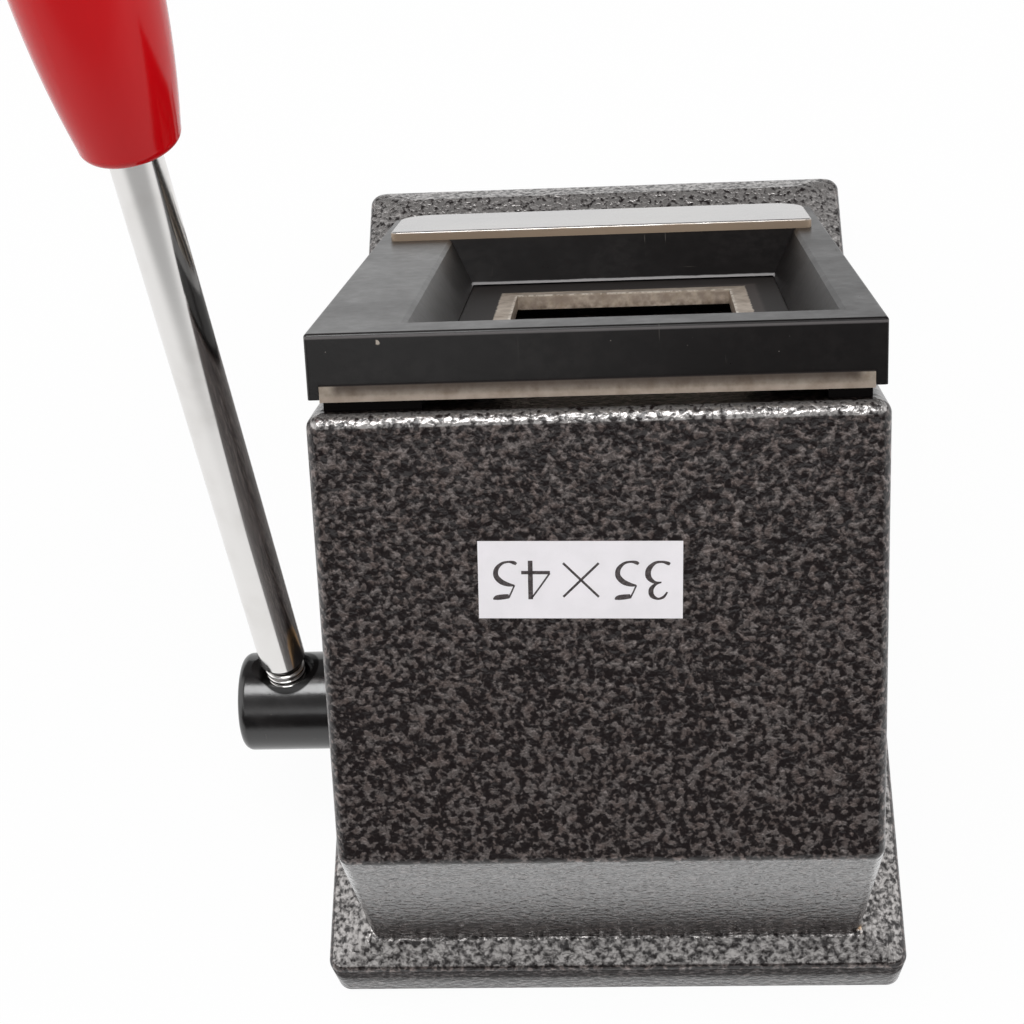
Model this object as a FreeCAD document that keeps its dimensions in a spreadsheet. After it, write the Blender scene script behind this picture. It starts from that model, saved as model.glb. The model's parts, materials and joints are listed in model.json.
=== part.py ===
import FreeCAD, Part
import math
import os
import re
import Sketcher
from FreeCAD import Placement, Rotation, Vector

# Desktop die cutter. A hand lever turns a shaft; a lift cam on the shaft pushes a ram and its punch
# through a 35 x 45 mm window in a die plate that lies at 45 degrees on a hollow cast block.
#
# Row frame: millimetres, Z up, origin on the ground below the middle of the base.
# +X is the lever side, -Y is the operator's side, +Y is the rear with the size label.
#
# Head frame: origin in the middle of the block's top edge. Its X is the row's X, its Y runs up the
# sloping front face and its Z stands out of that face, along the punch. The head and the punch
# mechanism are drawn in it and turned into place by their bodies' Placement.

SIZES = (
    # base and cast block
    ("base_length", 159, "length of the base, front to rear"),
    ("base_edge_height", 11, "upright outer edge of the base"),
    ("base_rise", 2.8, "height of the bevel above the outer edge"),
    ("base_corner_radius", 2.4, "rounding of the base's corners in plan"),
    ("base_edge_radius", 1.8, "rounding between outer edge and bevel"),
    ("bevel_end", 4.2, "plan width of the bevel at the front and rear"),
    ("bevel_side", 6.8, "plan width of the bevel at the sides"),
    ("neck_ledge", 0.5, "flat ledge round the foot of the block"),
    ("sheet_thickness", 1, "rubber sheet below the bottom cover"),
    ("sheet_margin", 2, "edge of the cover to the edge of the rubber sheet"),
    ("body_width", 79.2, "width of the block"),
    ("body_edge_radius", 2, "rounding of the block's edges"),
    ("rear_wall_height", 38.4, "upright rear wall above the bevel"),
    ("label_face_length", 66.8, "sloping rear face that carries the label"),
    ("face_angle", 45, "slope of the front face, degrees from level"),
    ("side_wall", 7, "thickness of the block's side walls"),
    ("block_wall", 6, "thickness of the rear and label walls"),
    ("front_wall", 14, "thickness of the front wall that guides the punch"),
    # bottom cover and its screws
    ("cover_thickness", 2.5, "thickness of the bottom cover"),
    ("cover_margin", 5, "rim of the casting round the cover"),
    ("cover_play", 0.2, "gap between cover and rim"),
    ("cover_screw_inset", 6, "cover screw centres from the cover's edges"),
    # die window and head
    ("window_width", 35, "width of the die window"),
    ("window_length", 45, "length of the die window along the slope"),
    ("window_offset", -3.8, "sideways place of the window's centre"),
    ("window_start", 19.3, "top edge of the block to the window, along the slope"),
    ("slot_height", 1.95, "height of the card slot"),
    ("narrow_rail_width", 5.9, "width of the narrow guide rail"),
    ("wide_rail_width", 13.5, "width of the wide guide rail"),
    ("slot_stop_gap", 8, "window's lower edge to the card stop"),
    ("rail_lead", 3, "top edge of the block to the rails"),
    ("die_thickness", 2.4, "thickness of the die plate"),
    ("die_length", 106, "length of the die plate"),
    ("frame_inset", 0.3, "block's label face to the frame's upper end"),
    ("frame_width", 77.8, "width of the funnel frame"),
    ("frame_length", 110, "length of the funnel frame"),
    ("frame_height", 7, "height of the funnel frame above the die plate"),
    ("frame_edge_radius", 0.5, "rounding of the frame's outer edges"),
    ("skirt_drop", 2.1, "skirts of the frame beside the die plate"),
    ("skirt_play", 0.1, "gap between skirt and die plate"),
    ("skirt_wall", 1.6, "wall of a side skirt"),
    ("recess_width", 59.5, "width of the recess at the top"),
    ("recess_start", 6.8, "top edge of the block to the recess, along the slope"),
    ("recess_length", 75.9, "length of the recess at the top"),
    ("recess_side_inset", 4.4, "side walls of the recess lean in by this"),
    ("recess_near_inset", 4.3, "upper wall of the recess leans in by this"),
    ("recess_far_inset", 8.5, "lower wall of the recess leans in by this"),
    ("recess_bevel", 0.4, "bevel round the recess's mouth, except below the strip"),
    ("recess_relief", 0.3, "relief under the inner edge of the frame"),
    ("recess_relief_width", 2, "width of that relief"),
    ("trim_side_inset", 2.3, "frame's side to the end of the trim strip"),
    ("trim_length", 21.5, "length of the trim strip along the slope"),
    ("trim_thickness", 1.6, "thickness of the trim strip"),
    ("trim_corner_radius", 6, "rounding of the strip's lower corners"),
    ("trim_upper_radius", 1.2, "rounding of the strip's upper corners"),
    ("trim_setback", 0.1, "recess edge to the strip"),
    # screws and dowels of the head
    ("screw_diameter", 4, "shank of the head and cover screws"),
    ("screw_head_diameter", 7.6, "countersunk head of those screws"),
    ("screw_grip", 8, "length of thread in the casting"),
    ("screw_play", 0.15, "radial clearance of a screw in its passage"),
    ("die_screw_spacing", 40, "spacing of the screws at the die plate's upper end"),
    ("frame_screw_inset", 10.9, "frame's side to the screws under the trim strip"),
    ("dowel_diameter", 4, "locating dowels of the die plate"),
    ("dowel_depth", 8, "depth of a dowel in the casting"),
    # shaft and bushes
    ("shaft_diameter", 16, "diameter of the lever shaft"),
    ("shaft_depth", 58, "front face of the block to the shaft's axis"),
    ("shaft_reach", 20.5, "shaft beyond the block's side face"),
    ("shaft_end_gap", 0.5, "shaft end below the far side face"),
    ("shaft_chamfer", 1, "chamfer of the shaft's hidden end"),
    ("shaft_end_radius", 1.6, "rounding of the shaft's outer end"),
    ("bush_wall", 2, "wall of the shaft bushes"),
    ("bush_flange_width", 3.5, "flange of a bush beyond its sleeve"),
    ("bush_flange_thickness", 2, "thickness of that flange"),
    ("bush_play", 0.04, "radial running clearance of the shaft"),
    ("end_play", 0.3, "sideways play of the shaft"),
    # lever
    ("lever_station", 12.3, "block's side face to the lever's hole in the shaft"),
    ("lever_lean_angle", 22, "lever from upright at rest, degrees forward"),
    ("lever_splay_angle", 4.4, "lever's outward lean, degrees"),
    ("lever_swing_angle", 60, "travel of the lever, degrees"),
    ("rod_diameter", 7.4, "diameter of the lever rod"),
    ("rod_thread_diameter", 5.8, "threaded end of the rod"),
    ("rod_thread_seat", 5, "rod end past the shaft's axis"),
    ("rod_shoulder", 8.4, "shaft's axis to the rod's full diameter"),
    ("sink_diameter", 10, "countersink of the lever's hole"),
    ("rod_end_chamfer", 1, "chamfer of the rod's end inside the grip"),
    ("grip_start", 103.2, "shaft's axis to the grip"),
    ("grip_length", 88, "length of the grip"),
    ("grip_collar_radius", 6.95, "radius of the grip's lower end"),
    ("grip_swell_radius", 9.8, "largest radius of the grip"),
    ("grip_swell_place", 31, "grip's lower end to its largest radius"),
    ("grip_tip_radius", 8.1, "radius of the grip where its end rounds off"),
    ("grip_lip", 1.8, "rounding of the grip's lower end"),
    ("grip_dome", 6.4, "rounding of the grip's upper end"),
    ("grip_bore_depth", 60, "rod inside the grip"),
    # cam, collar, stop and ring on the shaft
    ("stroke", 4.8, "travel of the punch"),
    ("cam_low", 14, "shaft's axis to the cam's lowest lift"),
    ("cam_base_radius", 12.4, "back of the cam"),
    ("cam_width", 14, "width of the cam"),
    ("cam_gap", 0.2, "gap between cam and thrust pad"),
    ("cam_screw_diameter", 5, "set screw of the cam"),
    ("collar_width", 10, "width of the stop collar"),
    ("collar_diameter", 27, "diameter of the stop collar"),
    ("stop_screw_diameter", 6, "stop screw of the collar"),
    ("stop_screw_reach", 22, "shaft's axis to the stop screw's end"),
    ("stop_lug_diameter", 8, "cast lugs that stop the screw"),
    ("stop_lug_radius", 18.5, "shaft's axis to the lugs"),
    ("stop_gap", 0.15, "gap between stop screw and lug at the end of travel"),
    ("ring_thickness", 1.5, "thickness of the retaining ring"),
    ("ring_diameter", 23, "outer diameter of the retaining ring"),
    ("ring_groove", 0.8, "depth of the ring's groove in the shaft"),
    # ram, punch, guide pins and springs
    ("punch_play", 0.03, "clearance of the punch in the die window, each side"),
    ("bore_play", 0.06, "clearance of the punch in the casting, each side"),
    ("punch_sink", 0.3, "punch face below the block's front face at rest"),
    ("punch_height", 19.7, "height of the punch"),
    ("pad_proud", 0.5, "thrust pad above the ram's foot"),
    ("pad_thickness", 3, "thickness of the thrust pad"),
    ("pad_width", 18, "width of the thrust pad"),
    ("pad_length", 18, "length of the thrust pad"),
    ("ram_foot_width", 26, "width of the ram's foot"),
    ("ram_foot_length", 68, "length of the ram's foot"),
    ("ram_foot_height", 8, "height of the ram's foot"),
    ("ram_column_width", 30, "width of the ram's column"),
    ("ram_column_length", 36, "length of the ram's column"),
    ("punch_screw_diameter", 5, "screws between ram and punch"),
    ("punch_screw_head", 8.5, "head diameter of those screws"),
    ("punch_screw_spacing", 27, "spacing of those screws"),
    ("punch_screw_bite", 9, "length of those screws in the punch"),
    ("pin_diameter", 5, "guide pins of the ram"),
    ("pin_spacing", 57, "spacing of the guide pins"),
    ("pin_seat", 8, "guide pin in the casting"),
    ("pin_tail", 6, "guide pin below the ram's foot"),
    ("pin_play", 0.06, "radial clearance of a guide pin in the ram"),
    ("clip_thickness", 1, "thickness of a guide pin's clip"),
    ("clip_diameter", 9, "outer diameter of that clip"),
    ("spring_wire", 1.5, "wire of a return spring"),
    ("spring_radius", 4.1, "middle radius of a return spring"),
    ("spring_turns", 5, "turns of a return spring"),
    ("spring_seat_gap", 0.15, "spring ends to their seats"),
    # size label
    ("label_width", 28.2, "width of the size label"),
    ("label_height", 11.2, "height of the size label"),
    ("label_thickness", 0.12, "thickness of the size label"),
    ("label_offset", 2.8, "sideways place of the label's centre"),
    ("label_drop", 24, "top edge of the block to the label's centre"),
    ("label_tilt", 1.3, "the label is stuck on this much askew, degrees"),
)

# What follows from the sizes. The sheet works these out by itself.
LAYOUT = (
    ("edge_top_z", "sheet_thickness + base_edge_height"),
    ("neck_z", "edge_top_z + base_rise"),
    ("base_width", "body_width + 2 * (neck_ledge + bevel_side)"),
    ("rear_y", "base_length / 2 - bevel_end - neck_ledge"),
    ("rear_top_z", "neck_z + rear_wall_height"),
    ("top_y", "rear_y - label_face_length * sin(face_angle)"),
    ("top_z", "rear_top_z + label_face_length * cos(face_angle)"),
    ("front_foot_y", "top_y - (top_z - edge_top_z) / tan(face_angle)"),
    ("inner_half", "body_width / 2 - side_wall"),
    ("cavity_rear_y", "rear_y - block_wall"),
    ("cavity_top_y", "top_y - block_wall * cos(face_angle) + front_wall * sin(face_angle)"),
    ("cavity_top_z", "top_z - block_wall * sin(face_angle) - front_wall * cos(face_angle)"),
    ("cavity_rear_z", "cavity_top_z - (cavity_rear_y - cavity_top_y) / tan(face_angle)"),
    ("cavity_front_y", "cavity_top_y - (cavity_top_z - sheet_thickness) / tan(face_angle)"),
    ("cover_width", "base_width - 2 * cover_margin - 2 * cover_play"),
    ("cover_length", "base_length - 2 * cover_margin - 2 * cover_play"),
    # along the slope, in the head frame: 0 is the block's top edge, negative runs down
    ("axis_y", "-(window_start + window_length / 2)"),
    ("window_low_y", "-(window_start + window_length)"),
    ("rail_y", "-rail_lead"),
    ("stop_y", "window_low_y - slot_stop_gap"),
    ("die_low_y", "-die_length"),
    ("die_width", "frame_width - 2 * (skirt_wall + skirt_play)"),
    ("trim_width", "frame_width - 2 * trim_side_inset"),
    ("frame_top_y", "-frame_inset"),
    ("frame_low_y", "-(frame_inset + frame_length)"),
    ("recess_top_y", "-recess_start"),
    ("recess_low_y", "-(recess_start + recess_length)"),
    ("trim_top_y", "recess_low_y - trim_setback"),
    ("trim_low_y", "trim_top_y - trim_length"),
    ("frame_screw_y", "trim_top_y - trim_length / 2"),
    ("die_screw_y", "-(window_start + recess_start + recess_near_inset) / 2"),
    ("slot_left", "narrow_rail_width - die_width / 2"),
    ("slot_right", "die_width / 2 - wide_rail_width"),
    # out of the front face, in the head frame: 0 is the front face, negative runs into the block
    ("die_top", "slot_height + die_thickness"),
    ("frame_top", "die_top + frame_height"),
    ("shaft_z_head", "-shaft_depth"),
    ("pad_face", "shaft_z_head + cam_low + cam_gap"),
    ("ram_foot_low", "pad_face + pad_proud"),
    ("ram_foot_top", "ram_foot_low + ram_foot_height"),
    ("punch_face", "-punch_sink"),
    ("punch_low", "punch_face - punch_height"),
    ("pin_low", "ram_foot_low - pin_tail"),
    # the shaft's axis in the row frame
    ("shaft_y", "top_y + axis_y * cos(face_angle) + shaft_depth * sin(face_angle)"),
    ("shaft_z", "top_z + axis_y * sin(face_angle) - shaft_depth * cos(face_angle)"),
    ("bush_radius", "shaft_diameter / 2 + bush_play + bush_wall"),
    ("flange_x", "inner_half - bush_flange_thickness"),
    ("lever_x", "body_width / 2 + lever_station"),
    ("collar_x", "end_play - flange_x"),
    ("ring_x", "flange_x - end_play - ring_thickness"),
)

doc = FreeCAD.newDocument("die_cutter")
NODES = []


# --- sheets and expressions -----------------------------------------------------------------------

def formula(text):
    """Put the sheet's name before every alias in a formula."""
    size_names = {row[0] for row in SIZES}
    layout_names = {row[0] for row in LAYOUT}

    def qualified(match):
        word = match.group(0)
        if word in size_names:
            return "Sizes." + word
        return "Layout." + word if word in layout_names else word

    return re.sub(r"[a-z_]+", qualified, text)


def fill_sheets():
    """The driving dimensions as plain numbers, and what follows from them as formulas."""
    sizes = doc.addObject("Spreadsheet::Sheet", "Sizes")
    for row, (alias, value, meaning) in enumerate(SIZES, start=1):
        sizes.set(f"A{row}", str(value))
        sizes.set(f"B{row}", meaning)
        sizes.setAlias(f"A{row}", alias)
    doc.recompute()
    layout = doc.addObject("Spreadsheet::Sheet", "Layout")
    for row, (alias, text) in enumerate(LAYOUT, start=1):
        layout.set(f"A{row}", "=" + formula(text).replace("Layout.", ""))
        layout.setAlias(f"A{row}", alias)
    doc.recompute()


def number(text):
    """The value of a formula."""
    return float(doc.Sizes.evalExpression(formula(str(text))))


def bind(target, name, text):
    """Tie a property to a formula."""
    target.setExpression(name, formula(str(text)))


# --- bodies, sketches and features ----------------------------------------------------------------

def head_placement():
    return Placement(Vector(0, number("top_y"), number("top_z")), Rotation(Vector(1, 0, 0), number("face_angle")))


def tilt_to_head(target, name):
    """Tie a placement to the head frame."""
    bind(target, name + ".Base.y", "top_y")
    bind(target, name + ".Base.z", "top_z")


def new_body(label, head=False):
    body = doc.addObject("PartDesign::Body", label)
    body.Label = label
    if head:
        body.Placement = head_placement()
        tilt_to_head(body, "Placement")
    NODES.append(body)
    return body


def new_sketch(body, name, role="XY_Plane", lift=0):
    """A sketch on one of the body's origin planes, lifted off it by a formula."""
    sketch = body.newObject("Sketcher::SketchObject", name)
    plane = next(item for item in body.Origin.OriginFeatures if item.Role == role)
    sketch.AttachmentSupport = [(plane, "")]
    sketch.MapMode = "FlatFace"
    bind(sketch, "AttachmentOffset.Base.z", lift)
    return sketch


def new_head_sketch(body, name, depth=0):
    """A sketch parallel to the front face of a body that is drawn in the row frame."""
    sketch = new_sketch(body, name)
    sketch.AttachmentOffset = head_placement().multiply(Placement(Vector(0, 0, number(depth)), Rotation()))
    bind(sketch, "AttachmentOffset.Base.y", f"top_y - ({depth}) * sin(face_angle)")
    bind(sketch, "AttachmentOffset.Base.z", f"top_z + ({depth}) * cos(face_angle)")
    return sketch


def hold(sketch, kind, edge, point, text):
    """Hold a point of an edge at a distance from the sketch's origin."""
    value = number(text)
    index = sketch.addConstraint(Sketcher.Constraint(kind, -1, 1, edge, point, value))
    sketch.setExpression(f"Constraints[{index}]", formula(str(text)))


def polygon(sketch, corners):
    """A closed outline. Each corner is held by its two coordinates."""
    points = [Vector(number(x), number(y), 0) for x, y in corners]
    first = sketch.GeometryCount
    count = len(points)
    for index in range(count):
        sketch.addGeometry(Part.LineSegment(points[index], points[(index + 1) % count]), False)
    for index in range(count):
        following = first + (index + 1) % count
        sketch.addConstraint(Sketcher.Constraint("Coincident", first + index, 2, following, 1))
    for index, (x, y) in enumerate(corners):
        hold(sketch, "DistanceX", first + index, 1, x)
        hold(sketch, "DistanceY", first + index, 1, y)


def rectangle(sketch, left, right, low, high):
    polygon(sketch, ((left, low), (right, low), (right, high), (left, high)))


def centred(sketch, middle_x, middle_y, width, length):
    """A rectangle about a middle point."""
    left = f"{middle_x} - ({width}) / 2"
    right = f"{middle_x} + ({width}) / 2"
    rectangle(sketch, left, right, f"{middle_y} - ({length}) / 2", f"{middle_y} + ({length}) / 2")


def rounded_rectangle(sketch, half_x, half_y, radius):
    """A rectangle about the sketch's origin with four equal round corners."""
    wide, high, turn = number(half_x), number(half_y), number(radius)
    quarter = math.pi / 2
    corners = ((wide - turn, -high + turn, 3), (wide - turn, high - turn, 0),
               (-wide + turn, high - turn, 1), (-wide + turn, -high + turn, 2))
    first = sketch.GeometryCount
    for x, y, turns in corners:
        circle = Part.Circle(Vector(x, y, 0), Vector(0, 0, 1), turn)
        sketch.addGeometry(Part.ArcOfCircle(circle, turns * quarter, (turns + 1) * quarter), False)
    ends = ((Vector(wide, -high + turn, 0), Vector(wide, high - turn, 0)),
            (Vector(wide - turn, high, 0), Vector(-wide + turn, high, 0)),
            (Vector(-wide, high - turn, 0), Vector(-wide, -high + turn, 0)),
            (Vector(-wide + turn, -high, 0), Vector(wide - turn, -high, 0)))
    for start, end in ends:
        sketch.addGeometry(Part.LineSegment(start, end), False)
    for index in range(4):
        arc, line, next_arc = first + index, first + 4 + index, first + (index + 1) % 4
        sketch.addConstraint(Sketcher.Constraint("Tangent", arc, 2, line, 1))
        sketch.addConstraint(Sketcher.Constraint("Tangent", line, 2, next_arc, 1))
        if index:
            sketch.addConstraint(Sketcher.Constraint("Equal", first, arc))
    sketch.addConstraint(Sketcher.Constraint("Vertical", first + 4))
    sketch.addConstraint(Sketcher.Constraint("Horizontal", first + 5))
    hold(sketch, "DistanceX", first + 4, 1, half_x)
    hold(sketch, "DistanceY", first + 5, 1, half_y)
    hold(sketch, "DistanceX", first + 6, 1, f"-({half_x})")
    hold(sketch, "DistanceY", first + 7, 1, f"-({half_y})")
    index = sketch.addConstraint(Sketcher.Constraint("Radius", first, turn))
    sketch.setExpression(f"Constraints[{index}]", formula(radius))


def circle(sketch, x, y, diameter):
    centre = Vector(number(x), number(y), 0)
    edge = sketch.addGeometry(Part.Circle(centre, Vector(0, 0, 1), number(diameter) / 2), False)
    hold(sketch, "DistanceX", edge, 3, x)
    hold(sketch, "DistanceY", edge, 3, y)
    index = sketch.addConstraint(Sketcher.Constraint("Diameter", edge, number(diameter)))
    sketch.setExpression(f"Constraints[{index}]", formula(str(diameter)))


def pad(body, name, sketch, length, both_ways=False, upside_down=False):
    feature = body.newObject("PartDesign::Pad", name)
    feature.Profile = (sketch, [""])
    feature.SideType = "Symmetric" if both_ways else "One side"
    feature.Reversed = upside_down
    bind(feature, "Length", length)
    doc.recompute()
    return feature


def pocket(body, name, sketch, length, both_ways=False, upwards=False):
    """Cut a sketch against its normal, or along it when upwards."""
    before = body.Shape.Volume
    feature = body.newObject("PartDesign::Pocket", name)
    feature.Profile = (sketch, [""])
    feature.SideType = "Symmetric" if both_ways else "One side"
    feature.Reversed = upwards
    bind(feature, "Length", length)
    doc.recompute()
    if not body.Shape.Volume < before:
        raise RuntimeError(f"{body.Label}: {name} cuts nothing")
    return feature


def loft(body, kind, name, lower, upper):
    """A straight loft between two sketches, added or subtracted."""
    feature = body.newObject("PartDesign::" + kind, name)
    feature.Profile = (lower, [""])
    feature.Sections = [(upper, [""])]
    feature.Ruled = True
    doc.recompute()
    return feature


def fillet(body, name, radius, wanted, kind="Fillet"):
    """Round or bevel the edges of a body that a test picks out."""
    base = body.Tip
    picked = [f"Edge{index}" for index, edge in enumerate(base.Shape.Edges, start=1) if wanted(edge)]
    if not picked:
        raise RuntimeError(f"{body.Label}: {name} finds no edge")
    feature = body.newObject("PartDesign::" + kind, name)
    feature.Base = (base, picked)
    bind(feature, "Radius" if kind == "Fillet" else "Size", radius)
    doc.recompute()
    return feature


def lies_at(edge, axis, place):
    """Whether every end of an edge lies at one place along an axis."""
    return all(abs(getattr(vertex.Point, axis) - place) < 1e-4 for vertex in edge.Vertexes)


def ring_radius(edge):
    """Radius of a full circular edge, or 0 for an edge with two ends."""
    return edge.Length / (2 * math.pi) if len(edge.Vertexes) == 1 else 0


def feature_node(label, shape, placement=Placement()):
    """A sub-part whose shape is made with Part's own functions."""
    node = doc.addObject("Part::Feature", label)
    node.Label = label
    node.Shape = shape
    node.Placement = placement.multiply(shape.Placement)
    NODES.append(node)
    return node


def turned(points, axis_start, axis_direction):
    """A solid of revolution from a closed outline of points."""
    face = Part.Face(Part.makePolygon(list(points) + [points[0]]))
    return face.revolve(axis_start, axis_direction, 360)


# --- cast block, cover and base sheet -------------------------------------------------------------------

def make_body_casting():
    """One iron casting: bevelled base and hollow wedge block, open below."""
    body = new_body("body_casting")
    block = new_sketch(body, "block_outline", "YZ_Plane")
    polygon(block, (("rear_y", "edge_top_z"), ("rear_y", "rear_top_z"), ("top_y", "top_z"),
                    ("front_foot_y", "edge_top_z")))
    pad(body, "block", block, "body_width", both_ways=True)
    foot = number("edge_top_z")
    fillet(body, "block_edges", "body_edge_radius", lambda edge: edge.CenterOfMass.z > foot + 1e-3)

    slab = new_sketch(body, "base_outline", lift="sheet_thickness")
    rounded_rectangle(slab, "base_width / 2", "base_length / 2", "base_corner_radius")
    pad(body, "base_slab", slab, "base_edge_height")
    lower = new_sketch(body, "bevel_foot", lift="edge_top_z")
    rounded_rectangle(lower, "base_width / 2", "base_length / 2", "base_corner_radius")
    upper = new_sketch(body, "bevel_top", lift="neck_z")
    rounded_rectangle(upper, "body_width / 2 + neck_ledge", "base_length / 2 - bevel_end", "body_edge_radius")
    loft(body, "AdditiveLoft", "base_bevel", lower, upper)
    side, end = number("base_width / 2"), number("base_length / 2")
    corner = number("base_corner_radius")

    def outer_edge(edge):
        middle = edge.CenterOfMass
        outside = abs(middle.x) > side - corner or abs(middle.y) > end - corner
        return outside and lies_at(edge, "z", foot)

    fillet(body, "base_edges", "base_edge_radius", outer_edge)

    cavity = new_sketch(body, "cavity_outline", "YZ_Plane")
    polygon(cavity, (("cavity_rear_y", "sheet_thickness"), ("cavity_rear_y", "cavity_rear_z"),
                     ("cavity_top_y", "cavity_top_z"), ("cavity_front_y", "sheet_thickness")))
    pocket(body, "cavity", cavity, "2 * inner_half", both_ways=True)
    seat = new_sketch(body, "cover_seat_outline", lift="sheet_thickness")
    rounded_rectangle(seat, "base_width / 2 - cover_margin", "base_length / 2 - cover_margin",
                      "base_corner_radius")
    pocket(body, "cover_seat", seat, "cover_thickness", upwards=True)

    threads = new_sketch(body, "cover_threads", lift="sheet_thickness")
    for x, y in corner_places("cover_screw_inset", "cover_screw_inset"):
        circle(threads, x, y, "screw_diameter")
    pocket(body, "cover_thread_holes", threads, "cover_thickness + screw_grip", upwards=True)

    bores = new_sketch(body, "bush_bores", "YZ_Plane")
    circle(bores, "shaft_y", "shaft_z", "2 * bush_radius")
    pocket(body, "bush_bore", bores, "body_width + 2", both_ways=True)
    make_stop_lugs(body)

    guide = new_head_sketch(body, "punch_bore_outline")
    centred(guide, "window_offset", "axis_y", "window_width + 2 * (bore_play - punch_play)",
            "window_length + 2 * (bore_play - punch_play)")
    pocket(body, "punch_bore", guide, "front_wall + 1")
    pins = new_head_sketch(body, "guide_pin_seats", "-front_wall")
    for y in pin_places():
        circle(pins, "window_offset", y, "pin_diameter")
    pocket(body, "guide_pin_holes", pins, "pin_seat", upwards=True)
    face = new_head_sketch(body, "front_face_holes")
    for x, y in die_screw_places() + frame_screw_places():
        circle(face, x, y, "screw_diameter")
    for x, y in dowel_places():
        circle(face, x, y, "dowel_diameter")
    pocket(body, "front_face_threads", face, "screw_grip")


def make_stop_lugs(body):
    """Two round lugs on the far wall, where the stop screw comes to rest at each end of its swing."""
    reach = number("stop_screw_diameter / 2 + stop_lug_diameter / 2 + stop_gap")
    lead = math.degrees(math.asin(reach / number("stop_lug_radius")))
    lugs = new_sketch(body, "stop_lug_outlines", "YZ_Plane", lift="-inner_half")
    for angle in (-lead, number("lever_swing_angle") + lead):
        y = f"shaft_y + stop_lug_radius * cos({angle})"
        z = f"shaft_z + stop_lug_radius * sin({angle})"
        circle(lugs, y, z, "stop_lug_diameter")
    pad(body, "stop_lugs", lugs, "inner_half + collar_x + collar_width / 2 + stop_screw_diameter / 2")


def corner_places(inset_side, inset_end):
    """Four places, set in from the cover's corners."""
    x = f"(cover_width / 2 - {inset_side})"
    y = f"(cover_length / 2 - {inset_end})"
    return [(f"{sx} * {x}", f"{sy} * {y}") for sx in (-1, 1) for sy in (-1, 1)]


def pin_places():
    return ("axis_y - pin_spacing / 2", "axis_y + pin_spacing / 2")


def die_screw_places():
    return [(f"window_offset + {side} * die_screw_spacing / 2", "die_screw_y") for side in (-1, 1)]


def frame_screw_places():
    return [(f"{side} * (frame_width / 2 - frame_screw_inset)", "frame_screw_y") for side in (-1, 1)]


def dowel_places():
    """One dowel through each rail, beside the window."""
    wide = "(slot_right + die_width / 2) / 2"
    narrow = "(slot_left - die_width / 2) / 2"
    return [(wide, "axis_y"), (narrow, "axis_y")]


def make_bottom_cover():
    body = new_body("bottom_cover")
    outline = new_sketch(body, "outline", lift="sheet_thickness")
    rounded_rectangle(outline, "cover_width / 2", "cover_length / 2", "base_corner_radius - cover_play")
    pad(body, "plate", outline, "cover_thickness")
    holes = new_sketch(body, "screw_passages", lift="sheet_thickness")
    for x, y in corner_places("cover_screw_inset", "cover_screw_inset"):
        circle(holes, x, y, "screw_diameter + 2 * screw_play")
    pocket(body, "screw_passage_holes", holes, "cover_thickness", upwards=True)
    rim = number("sheet_thickness")
    radius = number("screw_diameter / 2 + screw_play")

    def mouth(edge):
        return lies_at(edge, "z", rim) and abs(ring_radius(edge) - radius) < 1e-4

    fillet(body, "screw_sinks", sink_size(), mouth, kind="Chamfer")


def sink_size():
    """Leg of the countersink that takes a screw's head."""
    return "(screw_head_diameter - screw_diameter) / 2 - screw_play"


def make_rubber_sheet():
    """Anti-slip sheet that the machine stands on."""
    body = new_body("rubber_base_sheet")
    outline = new_sketch(body, "outline")
    rounded_rectangle(outline, "cover_width / 2 - sheet_margin", "cover_length / 2 - sheet_margin",
                      "base_corner_radius")
    pad(body, "sheet", outline, "sheet_thickness")


def countersunk_screw(length):
    """A countersunk screw with a hexagon socket. Its head is flush with z = 0 and it points down."""
    head = number("screw_head_diameter / 2")
    shank = number("screw_diameter / 2")
    cone = head - shank
    outline = (Vector(0, 0, 0), Vector(head, 0, 0), Vector(shank, 0, -cone), Vector(shank, 0, -length),
               Vector(0, 0, -length))
    solid = turned(outline, Vector(0, 0, 0), Vector(0, 0, 1))
    return solid.cut(hexagon(head * 0.6, cone * 0.7).translated(Vector(0, 0, -cone * 0.7)))


def hexagon(across_corners, height):
    """A hexagonal prism that stands on z = 0."""
    points = [Vector(across_corners / 2 * math.cos(math.radians(angle)),
                     across_corners / 2 * math.sin(math.radians(angle)), 0) for angle in range(0, 360, 60)]
    return Part.Face(Part.makePolygon(points + [points[0]])).extrude(Vector(0, 0, height))


def screw_group(label, shape, places, height, placement, upside_down=False):
    """Copies of one screw as separate solids in one node."""
    turn = Rotation(Vector(1, 0, 0), 180 if upside_down else 0)
    copies = []
    for x, y in places:
        copy = shape.copy()
        copy.Placement = Placement(Vector(number(x), number(y), height), turn)
        copies.append(copy)
    feature_node(label, Part.makeCompound(copies), placement)


def make_cover_screws():
    screw = countersunk_screw(number("cover_thickness + screw_grip - 1"))
    places = corner_places("cover_screw_inset", "cover_screw_inset")
    screw_group("cover_screws", screw, places, number("sheet_thickness"), Placement(), upside_down=True)


# --- head: rails, die plate, frame and trim -------------------------------------------------------

def make_rail(label, left, right, top, low, holes):
    """A flat strip on the front face, with passages for what goes through it."""
    body = new_body(label, head=True)
    outline = new_sketch(body, "outline")
    rectangle(outline, left, right, low, top)
    pad(body, "strip", outline, "slot_height")
    passages = new_sketch(body, "passages")
    for x, y, diameter in holes:
        circle(passages, x, y, diameter)
    pocket(body, "passage_holes", passages, "slot_height", upwards=True)


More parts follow.
